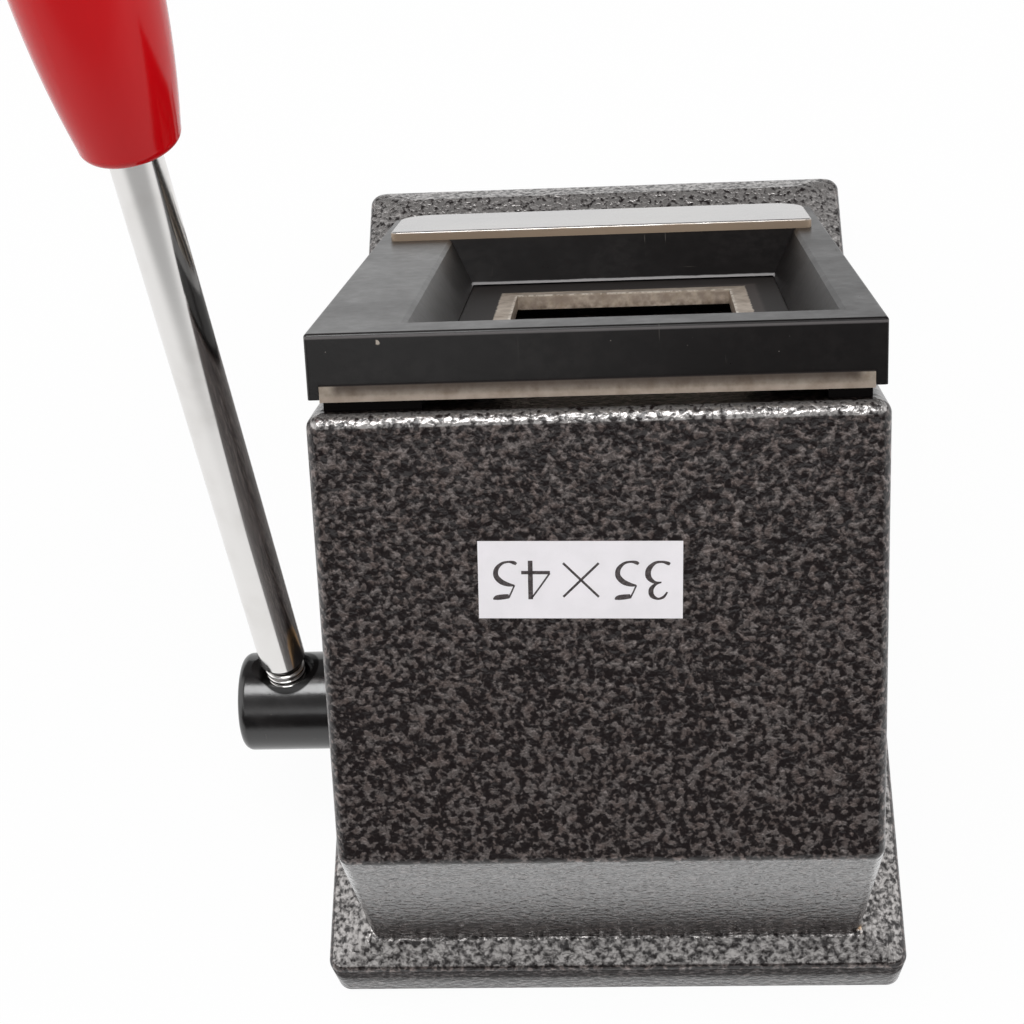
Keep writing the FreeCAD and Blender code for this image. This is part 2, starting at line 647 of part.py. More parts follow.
def make_rails():
    """Two side rails and a stop bar keep the die plate off the block and leave the card slot."""
    screw_hole = "screw_diameter + 2 * screw_play"
    wide_dowel, narrow_dowel = dowel_places()
    left_screw, right_screw = frame_screw_places()
    make_rail("guide_rail_wide", "slot_right", "die_width / 2", "rail_y", "die_low_y",
              [(*wide_dowel, "dowel_diameter"), (*right_screw, screw_hole)])
    make_rail("guide_rail_narrow", "-die_width / 2", "slot_left", "rail_y", "die_low_y",
              [(*narrow_dowel, "dowel_diameter")])
    make_rail("card_stop_bar", "slot_left", "slot_right", "stop_y", "die_low_y", [(*left_screw, screw_hole)])


def make_die_plate():
    """Ground steel plate with the sharp-edged window."""
    body = new_body("die_plate", head=True)
    outline = new_sketch(body, "outline", lift="slot_height")
    rectangle(outline, "-die_width / 2", "die_width / 2", "die_low_y", 0)
    pad(body, "plate", outline, "die_thickness")
    window = new_sketch(body, "window_outline", lift="slot_height")
    centred(window, "window_offset", "axis_y", "window_width", "window_length")
    pocket(body, "window", window, "die_thickness", upwards=True)
    passages = new_sketch(body, "passages", lift="slot_height")
    for x, y in die_screw_places() + frame_screw_places():
        circle(passages, x, y, "screw_diameter + 2 * screw_play")
    for x, y in dowel_places():
        circle(passages, x, y, "dowel_diameter")
    pocket(body, "passage_holes", passages, "die_thickness", upwards=True)
    top = number("die_top")
    upper_end = number("axis_y + window_length / 2")
    radius = number("screw_diameter / 2 + screw_play")

    def sink_mouth(edge):
        at_upper_end = lies_at(edge, "z", top) and edge.CenterOfMass.y > upper_end
        return at_upper_end and abs(ring_radius(edge) - radius) < 1e-4

    fillet(body, "screw_sinks", sink_size(), sink_mouth, kind="Chamfer")


def make_funnel_frame():
    """Frame over the die plate: a recess with leaning walls, skirts and a relieved inner edge."""
    body = new_body("funnel_frame", head=True)
    outline = new_sketch(body, "outline", lift="die_top")
    rectangle(outline, "-frame_width / 2", "frame_width / 2", "frame_low_y", "frame_top_y")
    pad(body, "frame_block", outline, "frame_height")
    for name, inner in (("near_skirt", "frame_width / 2"), ("far_skirt", "-frame_width / 2")):
        skirt = new_sketch(body, name + "_outline", lift="die_top - skirt_drop")
        edge = "(die_width / 2 + skirt_play)"
        left, right = (edge, inner) if name == "near_skirt" else (inner, "-" + edge)
        rectangle(skirt, left, right, "frame_low_y", "frame_top_y")
        pad(body, name, skirt, "skirt_drop")
    end_wall = new_sketch(body, "end_skirt_outline", lift="die_top - skirt_drop")
    rectangle(end_wall, "-frame_width / 2", "frame_width / 2", "frame_low_y", "die_low_y - skirt_play")
    pad(body, "end_skirt", end_wall, "skirt_drop")

    top, low = number("frame_top_y"), number("frame_low_y")
    half, crown = number("frame_width / 2"), number("frame_top")

    def rim(edge):
        middle = edge.CenterOfMass
        on_side = abs(abs(middle.x) - half) < 1e-4 or abs(middle.y - top) < 1e-4 or abs(middle.y - low) < 1e-4
        upright = abs(abs(middle.x) - half) < 1e-4 and (abs(middle.y - top) < 1e-4 or abs(middle.y - low) < 1e-4)
        return on_side and (lies_at(edge, "z", crown) or upright)

    fillet(body, "outer_edges", "frame_edge_radius", rim)
    floor = new_sketch(body, "recess_foot", lift="die_top")
    rectangle(floor, "window_offset - recess_width / 2 + recess_side_inset",
              "window_offset + recess_width / 2 - recess_side_inset",
              "recess_low_y + recess_far_inset", "recess_top_y - recess_near_inset")
    mouth = new_sketch(body, "recess_mouth", lift="frame_top")
    rectangle(mouth, "window_offset - recess_width / 2", "window_offset + recess_width / 2",
              "recess_low_y", "recess_top_y")
    loft(body, "SubtractiveLoft", "recess", floor, mouth)
    bevel_foot = new_sketch(body, "bevel_foot", lift="frame_top - recess_bevel")
    share = "recess_bevel / frame_height"
    rectangle(bevel_foot, f"window_offset - recess_width / 2 + recess_side_inset * {share}",
              f"window_offset + recess_width / 2 - recess_side_inset * {share}",
              f"recess_low_y + recess_far_inset * {share}", f"recess_top_y - recess_near_inset * {share}")
    bevel_mouth = new_sketch(body, "bevel_mouth", lift="frame_top")
    rectangle(bevel_mouth, "window_offset - recess_width / 2 - recess_bevel",
              "window_offset + recess_width / 2 + recess_bevel", "recess_low_y", "recess_top_y + recess_bevel")
    loft(body, "SubtractiveLoft", "mouth_bevel", bevel_foot, bevel_mouth)
    relief = new_sketch(body, "relief_outline", lift="die_top")
    rectangle(relief, "window_offset - recess_width / 2 + recess_side_inset - recess_relief_width",
              "window_offset + recess_width / 2 - recess_side_inset + recess_relief_width",
              "recess_low_y + recess_far_inset - recess_relief_width",
              "recess_top_y - recess_near_inset + recess_relief_width")
    pocket(body, "relief", relief, "recess_relief", upwards=True)
    passages = new_sketch(body, "screw_passages", lift="die_top")
    for x, y in frame_screw_places():
        circle(passages, x, y, "screw_diameter + 2 * screw_play")
    pocket(body, "screw_passage_holes", passages, "frame_height", upwards=True)

    radius = number("screw_diameter / 2 + screw_play")

    def sink_mouth(edge):
        return lies_at(edge, "z", crown) and abs(ring_radius(edge) - radius) < 1e-4

    fillet(body, "screw_sinks", sink_size(), sink_mouth, kind="Chamfer")


def make_trim_strip():
    """Bare polished strip over the frame's lower end. It hides the frame's screws."""
    body = new_body("trim_strip", head=True)
    outline = new_sketch(body, "outline", lift="frame_top")
    rectangle(outline, "-trim_width / 2", "trim_width / 2", "trim_low_y", "trim_top_y")
    pad(body, "strip", outline, "trim_thickness")

    def corner_at(place):
        def wanted(edge):
            upright = abs(edge.Vertexes[0].Point.z - edge.Vertexes[-1].Point.z) > 1e-4
            return upright and lies_at(edge, "y", number(place))
        return wanted

    fillet(body, "lower_corners", "trim_corner_radius", corner_at("trim_low_y"))
    fillet(body, "upper_corners", "trim_upper_radius", corner_at("trim_top_y"))
    crown = number("frame_top + trim_thickness")
    fillet(body, "soft_edges", "trim_thickness / 4", lambda edge: lies_at(edge, "z", crown))


def make_head_screws():
    head = head_placement()
    plate_screw = countersunk_screw(number("die_top + screw_grip - 1"))
    screw_group("die_plate_screws", plate_screw, die_screw_places(), number("die_top"), head)
    frame_screw = countersunk_screw(number("frame_top + screw_grip - 1"))
    screw_group("frame_screws", frame_screw, frame_screw_places(), number("frame_top"), head)
    length = number("die_top + dowel_depth")
    pins = [Part.makeCylinder(number("dowel_diameter / 2"), length,
                              Vector(number(x), number(y), number("-dowel_depth"))) for x, y in dowel_places()]
    feature_node("die_dowels", Part.makeCompound(pins), head)


def make_size_label():
    """Paper label on the sloping rear face, stuck on slightly askew."""
    middle = head_placement().multVec(Vector(number("label_offset"), 0, -number("label_drop")))
    face_turn = Rotation(Vector(1, 0, 0), number("face_angle") - 90)
    askew = Rotation(Vector(0, 0, 1), -number("label_tilt"))
    label = doc.addObject("Part::Box", "size_label")
    label.Label = "size_label"
    bind(label, "Length", "label_width")
    bind(label, "Width", "label_height")
    bind(label, "Height", "label_thickness")
    corner = Vector(-number("label_width / 2"), -number("label_height / 2"), 0)
    turn = face_turn.multiply(askew)
    label.Placement = Placement(middle + turn.multVec(corner), turn)
    NODES.append(label)


# --- shaft, lever and what turns with them --------------------------------------------------------

def shaft_point(x):
    return Vector(x, number("shaft_y"), number("shaft_z"))


def along_x(shape, x):
    """Turn a solid that stands along Z so that it lies along the shaft, starting at x."""
    shape.Placement = Placement(shaft_point(x), Rotation(Vector(0, 1, 0), 90))
    return shape


def lever_turn():
    """Rotation that carries Z to the lever's direction: forward lean, then outward splay."""
    lean = Rotation(Vector(1, 0, 0), number("lever_lean_angle"))
    return lean.multiply(Rotation(Vector(0, 1, 0), number("lever_splay_angle")))


def make_bush(label, side):
    """A flanged bush, its flange against the inside of the wall."""
    body = new_body(label)
    ring = new_sketch(body, "sleeve_outline", "YZ_Plane", lift=f"{side} * inner_half")
    circle(ring, "shaft_y", "shaft_z", "2 * bush_radius")
    pad(body, "sleeve", ring, "side_wall", upside_down=side < 0)
    flange = new_sketch(body, "flange_outline", "YZ_Plane", lift=f"{side} * inner_half")
    circle(flange, "shaft_y", "shaft_z", "2 * (bush_radius + bush_flange_width)")
    pad(body, "flange", flange, "bush_flange_thickness", upside_down=side > 0)
    bore = new_sketch(body, "bore_outline", "YZ_Plane")
    circle(bore, "shaft_y", "shaft_z", "shaft_diameter + 2 * bush_play")
    pocket(body, "bore", bore, "body_width + 2", both_ways=True)


def make_lever_shaft():
    """Round bar with a rounded outer end, a ring groove and the countersunk cross hole for the lever."""
    radius = number("shaft_diameter / 2")
    bevel = number("shaft_chamfer")
    start = number("shaft_end_gap - body_width / 2")
    length = number("body_width / 2 + shaft_reach") - start
    groove = number("ring_x") - start
    root = radius - number("ring_groove")
    ring = number("ring_thickness")
    outline = (Vector(0, 0, 0), Vector(radius - bevel, 0, 0), Vector(radius, 0, bevel),
               Vector(radius, 0, groove), Vector(root, 0, groove), Vector(root, 0, groove + ring),
               Vector(radius, 0, groove + ring), Vector(radius, 0, length), Vector(0, 0, length))
    bar = turned(outline, Vector(0, 0, 0), Vector(0, 0, 1))
    rim = [edge for edge in bar.Edges if ring_radius(edge) > radius - 1e-4 and lies_at(edge, "z", length)]
    bar = along_x(bar.makeFillet(number("shaft_end_radius"), rim), start)
    thread = number("rod_thread_diameter / 2")
    sink = number("sink_diameter / 2")
    depth = sink - thread
    seat = number("rod_thread_seat")
    tool_outline = (Vector(0, 0, -seat), Vector(thread, 0, -seat), Vector(thread, 0, radius - depth),
                    Vector(sink + 1, 0, radius + 1), Vector(0, 0, radius + 1))
    tool = turned(tool_outline, Vector(0, 0, 0), Vector(0, 0, 1))
    tool.Placement = Placement(shaft_point(number("lever_x")), lever_turn())
    feature_node("lever_shaft", bar.cut(tool))


def make_lever_rod():
    """Chromed rod: threaded end in the shaft, a short cone, then full diameter up into the grip."""
    radius = number("rod_diameter / 2")
    thread = number("rod_thread_diameter / 2")
    seat = number("rod_thread_seat")
    shoulder = number("rod_shoulder")
    end = number("grip_start + grip_bore_depth")
    chamfer = number("rod_end_chamfer")
    outline = (Vector(0, 0, -seat), Vector(thread, 0, -seat), Vector(thread, 0, shoulder),
               Vector(radius, 0, shoulder + 2 * (radius - thread)), Vector(radius, 0, end - chamfer),
               Vector(radius - chamfer, 0, end), Vector(0, 0, end))
    rod = turned(outline, Vector(0, 0, 0), Vector(0, 0, 1))
    feature_node("lever_rod", rod, Placement(shaft_point(number("lever_x")), lever_turn()))


def bulge(end, belly):
    """An arc from an end point to the belly of a turned outline, upright at the belly."""
    height = end.z - belly.z
    depth = belly.x - end.x
    radius = (height ** 2 + depth ** 2) / (2 * depth)
    half_way = math.asin(height / radius) / 2
    middle = Vector(belly.x - radius * (1 - math.cos(half_way)), 0, belly.z + radius * math.sin(half_way))
    return Part.Arc(end, middle, belly).toShape()


def make_lever_grip():
    """Turned plastic grip: narrow at the rod, swelling to the hand, with a domed end and a bore."""
    collar = number("grip_collar_radius")
    swell = number("grip_swell_radius")
    tip = number("grip_tip_radius")
    start = number("grip_start")
    length = number("grip_length")
    lip = number("grip_lip")
    dome = number("grip_dome")
    diagonal = 1 - math.sqrt(0.5)
    bore = number("rod_diameter / 2")
    end = start + length
    bore_end = start + number("grip_bore_depth")
    belly = Vector(swell, 0, start + number("grip_swell_place"))
    foot = Vector(collar - lip, 0, start)
    waist = Vector(collar, 0, start + lip)
    shoulder = Vector(tip, 0, end - dome)
    crown = Vector(tip - dome, 0, end)
    lower = Part.Arc(foot, Vector(collar - lip * diagonal, 0, start + lip * diagonal), waist)
    upper = Part.Arc(shoulder, Vector(tip - dome * diagonal, 0, end - dome * diagonal), crown)
    inner = Part.makePolygon([crown, Vector(0, 0, end), Vector(0, 0, bore_end), Vector(bore, 0, bore_end),
                              Vector(bore, 0, start), foot])
    wire = Part.Wire([lower.toShape(), bulge(waist, belly), bulge(shoulder, belly), upper.toShape()] + inner.Edges)
    grip = Part.Face(wire).revolve(Vector(0, 0, 0), Vector(0, 0, 1), 360)
    feature_node("lever_grip", grip, Placement(shaft_point(number("lever_x")), lever_turn()))


def lift_per_radian():
    """Travel of the punch for each radian of the lever."""
    return number("stroke") / math.radians(number("lever_swing_angle"))


def cam_point(angle):
    """Where the cam touches the flat thrust pad after the lever has turned by an angle in degrees.

    The cam's outline is the involute of a circle of radius lift_per_radian, so that the pad rises
    evenly with the lever. The point is given in the cam's own frame, with the cam at rest.
    """
    turn = math.radians(angle)
    rise = number("cam_low") + lift_per_radian() * turn
    y = lift_per_radian() * math.cos(turn) + rise * math.sin(turn)
    z = rise * math.cos(turn) - lift_per_radian() * math.sin(turn)
    return Vector(0, y, z)


def make_lift_cam():
    """Snail-shaped cam: an involute lift, a rounded nose and a round back."""
    margin = 6
    steps = 9
    swing = number("lever_swing_angle") + 2 * margin
    lift_points = [cam_point(-margin + swing * step / (steps - 1)) for step in range(steps)]
    lift = Part.BSplineCurve()
    lift.interpolate(lift_points)
    back = number("cam_base_radius")
    nose_end = Vector(0, back * math.cos(math.radians(-38)), back * math.sin(math.radians(-38)))
    nose = Part.LineSegment(lift_points[-1], nose_end)
    heel_start = Vector(0, back * math.cos(math.radians(118)), back * math.sin(math.radians(118)))
    round_back = Part.Arc(nose_end, Vector(0, -back * math.cos(math.radians(40)), -back * math.sin(math.radians(40))),
                          heel_start)
    heel = Part.LineSegment(heel_start, lift_points[0])
    wire = Part.Wire([lift.toShape(), nose.toShape(), round_back.toShape(), heel.toShape()])
    width = number("cam_width")
    disc = Part.Face(wire).extrude(Vector(width, 0, 0))
    disc.translate(Vector(-width / 2, 0, 0))
    edges = [edge for edge in disc.Edges if not lies_at(edge, "x", width / 2) and not lies_at(edge, "x", -width / 2)]
    sharp = [edge for edge in edges if edge.CenterOfMass.distanceToPoint(lift_points[-1]) < 1]
    disc = disc.makeFillet(1.5, sharp)
    shaft = Part.makeCylinder(number("shaft_diameter / 2"), width + 2, Vector(-width / 2 - 1, 0, 0), Vector(1, 0, 0))
    screw_bore = Part.makeCylinder(number("cam_screw_diameter / 2"), back + 5, Vector(0, 0, 0), set_screw_direction())
    cam = disc.cut(shaft).cut(screw_bore)
    turn = Rotation(Vector(1, 0, 0), number("face_angle"))
    feature_node("lift_cam", cam, Placement(shaft_point(number("window_offset")), turn))


def set_screw_direction():
    """The cam's set screw sits in its round back."""
    return Vector(0, -math.cos(math.radians(60)), -math.sin(math.radians(60)))


def make_cam_set_screw():
    start = number("shaft_diameter / 2")
    length = number("cam_base_radius") - start - 0.4
    direction = set_screw_direction()
    screw = Part.makeCylinder(number("cam_screw_diameter / 2"), length, direction * start, direction)
    socket = hexagon(number("cam_screw_diameter / 2"), 2)
    socket.Placement = Placement(direction * (start + length - 2), Rotation(Vector(0, 0, 1), direction))
    turn = Rotation(Vector(1, 0, 0), number("face_angle"))
    feature_node("cam_set_screw", screw.cut(socket), Placement(shaft_point(number("window_offset")), turn))


def make_stop_collar():
    """Collar on the shaft that carries the stop screw."""
    body = new_body("stop_collar")
    ring = new_sketch(body, "collar_outline", "YZ_Plane", lift="collar_x")
    circle(ring, "shaft_y", "shaft_z", "collar_diameter")
    pad(body, "collar", ring, "collar_width")
    bore = new_sketch(body, "bore_outline", "YZ_Plane", lift="collar_x")
    circle(bore, "shaft_y", "shaft_z", "shaft_diameter")
    pocket(body, "bore", bore, "collar_width", upwards=True)
    cross = new_sketch(body, "screw_outline", "XZ_Plane", lift="-shaft_y")
    circle(cross, "collar_x + collar_width / 2", "shaft_z", "stop_screw_diameter")
    pocket(body, "screw_hole", cross, "collar_diameter")


def make_stop_screw():
    """Screw that points to the rear at rest and swings with the shaft between the two lugs."""
    start = number("shaft_diameter / 2")
    length = number("stop_screw_reach") - start
    radius = number("stop_screw_diameter / 2")
    middle = shaft_point(number("collar_x + collar_width / 2")) + Vector(0, start, 0)
    screw = Part.makeCylinder(radius, length, middle, Vector(0, 1, 0))
    rim = [edge for edge in screw.Edges if lies_at(edge, "y", middle.y + length)]
    feature_node("stop_screw", screw.makeChamfer(0.6, rim))


def make_retaining_ring():
    """Open spring ring in the shaft's groove."""
    radius = number("ring_diameter / 2")
    width = number("ring_thickness")
    groove = number("shaft_diameter / 2 - ring_groove")
    disc = Part.makeCylinder(radius, width)
    hole = Part.makeCylinder(groove, width)
    gap = Part.makeBox(radius, groove * 1.2, width, Vector(0, -groove * 0.6, 0))
    feature_node("shaft_retaining_ring", along_x(disc.cut(hole).cut(gap), number("ring_x")))


# --- ram, punch, guide pins and springs -----------------------------------------------------------

def make_ram_block():
    """T-shaped ram: a long foot that rides on the guide pins and a column that carries the punch."""
    body = new_body("ram_block", head=True)
    foot = new_sketch(body, "foot_outline", lift="ram_foot_low")
    centred(foot, "window_offset", "axis_y", "ram_foot_width", "ram_foot_length")
    pad(body, "foot", foot, "ram_foot_height")
    column = new_sketch(body, "column_outline", lift="ram_foot_top")
    centred(column, "window_offset", "axis_y", "ram_column_width", "ram_column_length")
    pad(body, "column", column, "punch_low - ram_foot_top")
    pins = new_sketch(body, "pin_bores", lift="ram_foot_low")
    for y in pin_places():
        circle(pins, "window_offset", y, "pin_diameter + 2 * pin_play")
    pocket(body, "pin_bore_holes", pins, "ram_foot_height", upwards=True)
    seat = new_sketch(body, "pad_seat", lift="ram_foot_low")
    centred(seat, "window_offset", "axis_y", "pad_width", "pad_length")
    pocket(body, "pad_seat_pocket", seat, "pad_thickness - pad_proud", upwards=True)
    screws = new_sketch(body, "punch_screw_passages", lift="ram_foot_low")
    heads = new_sketch(body, "punch_screw_heads", lift="ram_foot_low")
    for y in punch_screw_places():
        circle(screws, "window_offset", y, "punch_screw_diameter + 2 * screw_play")
        circle(heads, "window_offset", y, "punch_screw_head + 2 * screw_play")
    pocket(body, "punch_screw_holes", screws, "punch_low - ram_foot_low", upwards=True)
    pocket(body, "punch_screw_counterbores", heads, "punch_screw_diameter", upwards=True)
    upright = number("ram_foot_top")
    fillet(body, "foot_ends", 3, lambda edge: foot_corner(edge, upright))


def foot_corner(edge, top):
    """The four upright corners of the ram's foot."""
    first, last = edge.Vertexes[0].Point, edge.Vertexes[-1].Point
    low = number("ram_foot_low")
    standing = abs(first.x - last.x) < 1e-4 and abs(first.y - last.y) < 1e-4
    spans = abs(min(first.z, last.z) - low) < 1e-4 and abs(max(first.z, last.z) - top) < 1e-4
    at_end = abs(abs(first.y - number("axis_y")) - number("ram_foot_length / 2")) < 1e-4
    return standing and spans and at_end


def punch_screw_places():
    return ("axis_y - punch_screw_spacing / 2", "axis_y + punch_screw_spacing / 2")


def make_thrust_pad():
    body = new_body("thrust_pad", head=True)
    outline = new_sketch(body, "outline", lift="pad_face")
    centred(outline, "window_offset", "axis_y", "pad_width", "pad_length")
    pad(body, "plate", outline, "pad_thickness")


def make_punch():
    """Sharp-edged punch, tapped from behind."""
    body = new_body("punch", head=True)
    outline = new_sketch(body, "outline", lift="punch_low")
    centred(outline, "window_offset", "axis_y", "window_width - 2 * punch_play",
            "window_length - 2 * punch_play")
    pad(body, "block", outline, "punch_height")
    threads = new_sketch(body, "threads", lift="punch_low")
    for y in punch_screw_places():
        circle(threads, "window_offset", y, "punch_screw_diameter")
    pocket(body, "thread_holes", threads, "punch_screw_bite + 1", upwards=True)


def make_punch_screws():
    """Socket head screws from the ram's foot up into the punch."""
    head = number("punch_screw_head / 2")
    shank = number("punch_screw_diameter / 2")
    height = number("punch_screw_diameter")
    length = number("punch_low - ram_foot_low + punch_screw_bite")
    outline = (Vector(0, 0, 0.3), Vector(head - 0.4, 0, 0.3), Vector(head, 0, 0.7), Vector(head, 0, height),
               Vector(shank, 0, height), Vector(shank, 0, length), Vector(0, 0, length))
    screw = turned(outline, Vector(0, 0, 0), Vector(0, 0, 1))
    screw = screw.cut(hexagon(head, height * 0.6).translated(Vector(0, 0, 0.2)))
    places = [("window_offset", y) for y in punch_screw_places()]
    screw_group("punch_screws", screw, places, number("ram_foot_low"), head_placement())


def make_guide_pins():
    """Two pins, pressed into the front wall from inside, with a clip below the ram's foot."""
    radius = number("pin_diameter / 2")
    low = number("pin_low")
    length = number("pin_seat - front_wall") - low
    clip_place = number("ram_foot_low - end_play - clip_thickness")
    pins, clips = [], []
    for y in pin_places():
        place = Vector(number("window_offset"), number(y), low)
        pin = Part.makeCylinder(radius, length, place)
        ends = [edge for edge in pin.Edges if lies_at(edge, "z", low)]
        pins.append(pin.makeChamfer(0.6, ends))
        seat = Vector(place.x, place.y, clip_place)
        ring = Part.makeCylinder(number("clip_diameter / 2"), number("clip_thickness"), seat)
        clips.append(ring.cut(Part.makeCylinder(radius, number("clip_thickness"), seat)))
    feature_node("guide_pins", Part.makeCompound(pins), head_placement())
    feature_node("guide_pin_clips", Part.makeCompound(clips), head_placement())


def make_return_spring(label, y):
    """Compression spring round a guide pin, between the ram's foot and the front wall.

    Its wire has eight flats, which keeps the mesh of so many turns light.
    """
    wire = number("spring_wire")
    gap = number("spring_seat_gap")
    low = number("ram_foot_top") + gap + wire / 2
    height = number("-front_wall") - gap - wire / 2 - low
    radius = number("spring_radius")
    helix = Part.makeHelix(height / number("spring_turns"), height, radius)
    around = [math.radians(45 * corner) for corner in range(8)]
    corners = [Vector(radius + wire / 2 * math.cos(angle), 0, wire / 2 * math.sin(angle)) for angle in around]
    section = Part.makePolygon(corners + [corners[0]])
    coil = Part.Wire(helix).makePipeShell([section], True, True)
    coil.translate(Vector(number("window_offset"), number(y), low))
    feature_node(label, coil, head_placement())


# --- the whole machine ----------------------------------------------------------------------------

def check_document():
    """Stop at any feature that failed and any sub-part that is not a sound solid."""
    for item in doc.Objects:
        if {"Invalid", "Error"} & set(item.State):
            raise RuntimeError(f"{item.Name} failed: {item.State}")
    for node in NODES:
        if node.Shape.isNull() or not node.Shape.isValid():
            raise RuntimeError(f"{node.Label} has no valid shape")
        if not node.Shape.Solids:
            raise RuntimeError(f"{node.Label} has no solid")


def export_nodes():
    os.makedirs("parts", exist_ok=True)
    for node in NODES:
        node.Shape.exportStep(f"parts/{node.Label}.step")
        print(f"{node.Label}: {len(node.Shape.Solids)} solid(s), {node.Shape.Volume:.1f} mm3")


fill_sheets()
make_body_casting()
make_bottom_cover()
make_cover_screws()
make_rubber_sheet()
make_rails()
make_die_plate()
make_funnel_frame()
make_trim_strip()
make_head_screws()
make_size_label()
make_bush("shaft_bush_lever_side", 1)
make_bush("shaft_bush_far_side", -1)
make_lever_shaft()
make_lever_rod()
make_lever_grip()
make_lift_cam()
make_cam_set_screw()
make_stop_collar()
make_stop_screw()
make_retaining_ring()
make_ram_block()
make_thrust_pad()
make_punch()
make_punch_screws()
make_guide_pins()
make_return_spring("return_spring_lower", pin_places()[0])
make_return_spring("return_spring_upper", pin_places()[1])
doc.recompute()
check_document()
export_nodes()
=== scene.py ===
"""Looks of a hand-lever desk cutter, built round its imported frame."""

import json
import math

import bmesh
import bpy
from mathutils import Matrix, Vector

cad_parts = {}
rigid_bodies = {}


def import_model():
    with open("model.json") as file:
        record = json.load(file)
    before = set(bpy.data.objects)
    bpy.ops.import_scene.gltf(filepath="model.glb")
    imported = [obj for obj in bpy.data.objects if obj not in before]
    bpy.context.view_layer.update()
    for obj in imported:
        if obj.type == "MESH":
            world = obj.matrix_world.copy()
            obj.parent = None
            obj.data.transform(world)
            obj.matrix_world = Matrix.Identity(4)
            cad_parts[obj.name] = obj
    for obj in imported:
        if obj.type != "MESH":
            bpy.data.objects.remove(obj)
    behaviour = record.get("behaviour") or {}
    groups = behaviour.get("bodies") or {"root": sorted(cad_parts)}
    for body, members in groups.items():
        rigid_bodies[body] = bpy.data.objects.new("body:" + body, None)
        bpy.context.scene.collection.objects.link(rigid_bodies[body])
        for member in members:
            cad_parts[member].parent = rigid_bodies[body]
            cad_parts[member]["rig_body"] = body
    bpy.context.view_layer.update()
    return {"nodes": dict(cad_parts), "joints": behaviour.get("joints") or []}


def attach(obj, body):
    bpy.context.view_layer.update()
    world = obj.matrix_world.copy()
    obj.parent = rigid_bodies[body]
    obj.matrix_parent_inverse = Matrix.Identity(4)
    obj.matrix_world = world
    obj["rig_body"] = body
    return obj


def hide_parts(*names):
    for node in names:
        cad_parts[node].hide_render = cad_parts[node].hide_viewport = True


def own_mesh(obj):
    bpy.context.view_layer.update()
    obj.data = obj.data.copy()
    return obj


bl_info = {
    "name": "Desk card cutter looks",
    "version": (1, 0, 0),
    "blender": (4, 5, 0),
    "location": "3D View > Sidebar > Card cutter",
    "description": "Dresses the packed frame of a hand-lever card cutter and builds its studio",
    "category": "Object",
}

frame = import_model()

# Lengths are in metres.
MM = 0.001
CASTING_CHIP = (-0.0393, 0.0738, 0.0157)

# The head's own frame: X across, Y up the slope, Z out of the front face.
HEAD_ORIGIN = Vector((0.0, 0.0275653, 0.1004347))
HEAD_TILT = math.radians(45)
DIE_LOW = 0.00195
DIE_TOP = 0.00435
FRAME_TOP = 0.01135
STRIP_TOP = 0.01295
WINDOW = Vector((-0.0038, -0.0418))
WINDOW_HALF = Vector((0.0175, 0.0225))
RECESS_FOOT_TOP = -0.0728
RECESS_FOOT_END = -0.0756
RECESS_FOOT_HALF = 0.0310
FRAME_CHIP = Vector((0.0289, -0.0003, 0.0100))
LABEL_THICKNESS = 0.00012

# The lever: the rod stands on the shaft's axis.
SWING = next(joint for joint in frame["joints"] if joint["name"] == "lever_swing")
ROD_FOOT = Vector((0.0519, SWING["pos_m"][1], SWING["pos_m"][2]))
ROD_LEAN = math.radians(22)
ROD_SPLAY = math.radians(4.4)
SHAFT_AXIS = Vector((1.0, 0.0, 0.0))
SHAFT_RADIUS = 0.008
COUNTERSINK_RADIUS = 0.0051
THREAD_RADIUS = 0.0029
THREAD_START = 0.0052

# The studio.
TABLE_HALF = (4.0, 3.5)
TABLE_MIDDLE = (0.0, -0.5, 0.0)
SOFTBOX_PLACE = (0.10, -0.04, 1.10)
SENSOR_WIDTH_MM = 36.0


def head_matrix():
    """From the head's own frame to the row frame."""
    return Matrix.Translation(HEAD_ORIGIN) @ Matrix.Rotation(HEAD_TILT, 4, "X")


def rod_matrix():
    """From a frame with Z along the lever rod, starting at the shaft's axis, to the row frame."""
    lean = Matrix.Rotation(ROD_LEAN, 4, "X") @ Matrix.Rotation(ROD_SPLAY, 4, "Y")
    return Matrix.Translation(ROD_FOOT) @ lean


# --- nodes ----------------------------------------------------------------------------------------

def colour(value):
    """A socket as it is, or three numbers as an opaque colour."""
    return value if isinstance(value, bpy.types.NodeSocket) else (*value[:3], 1.0)


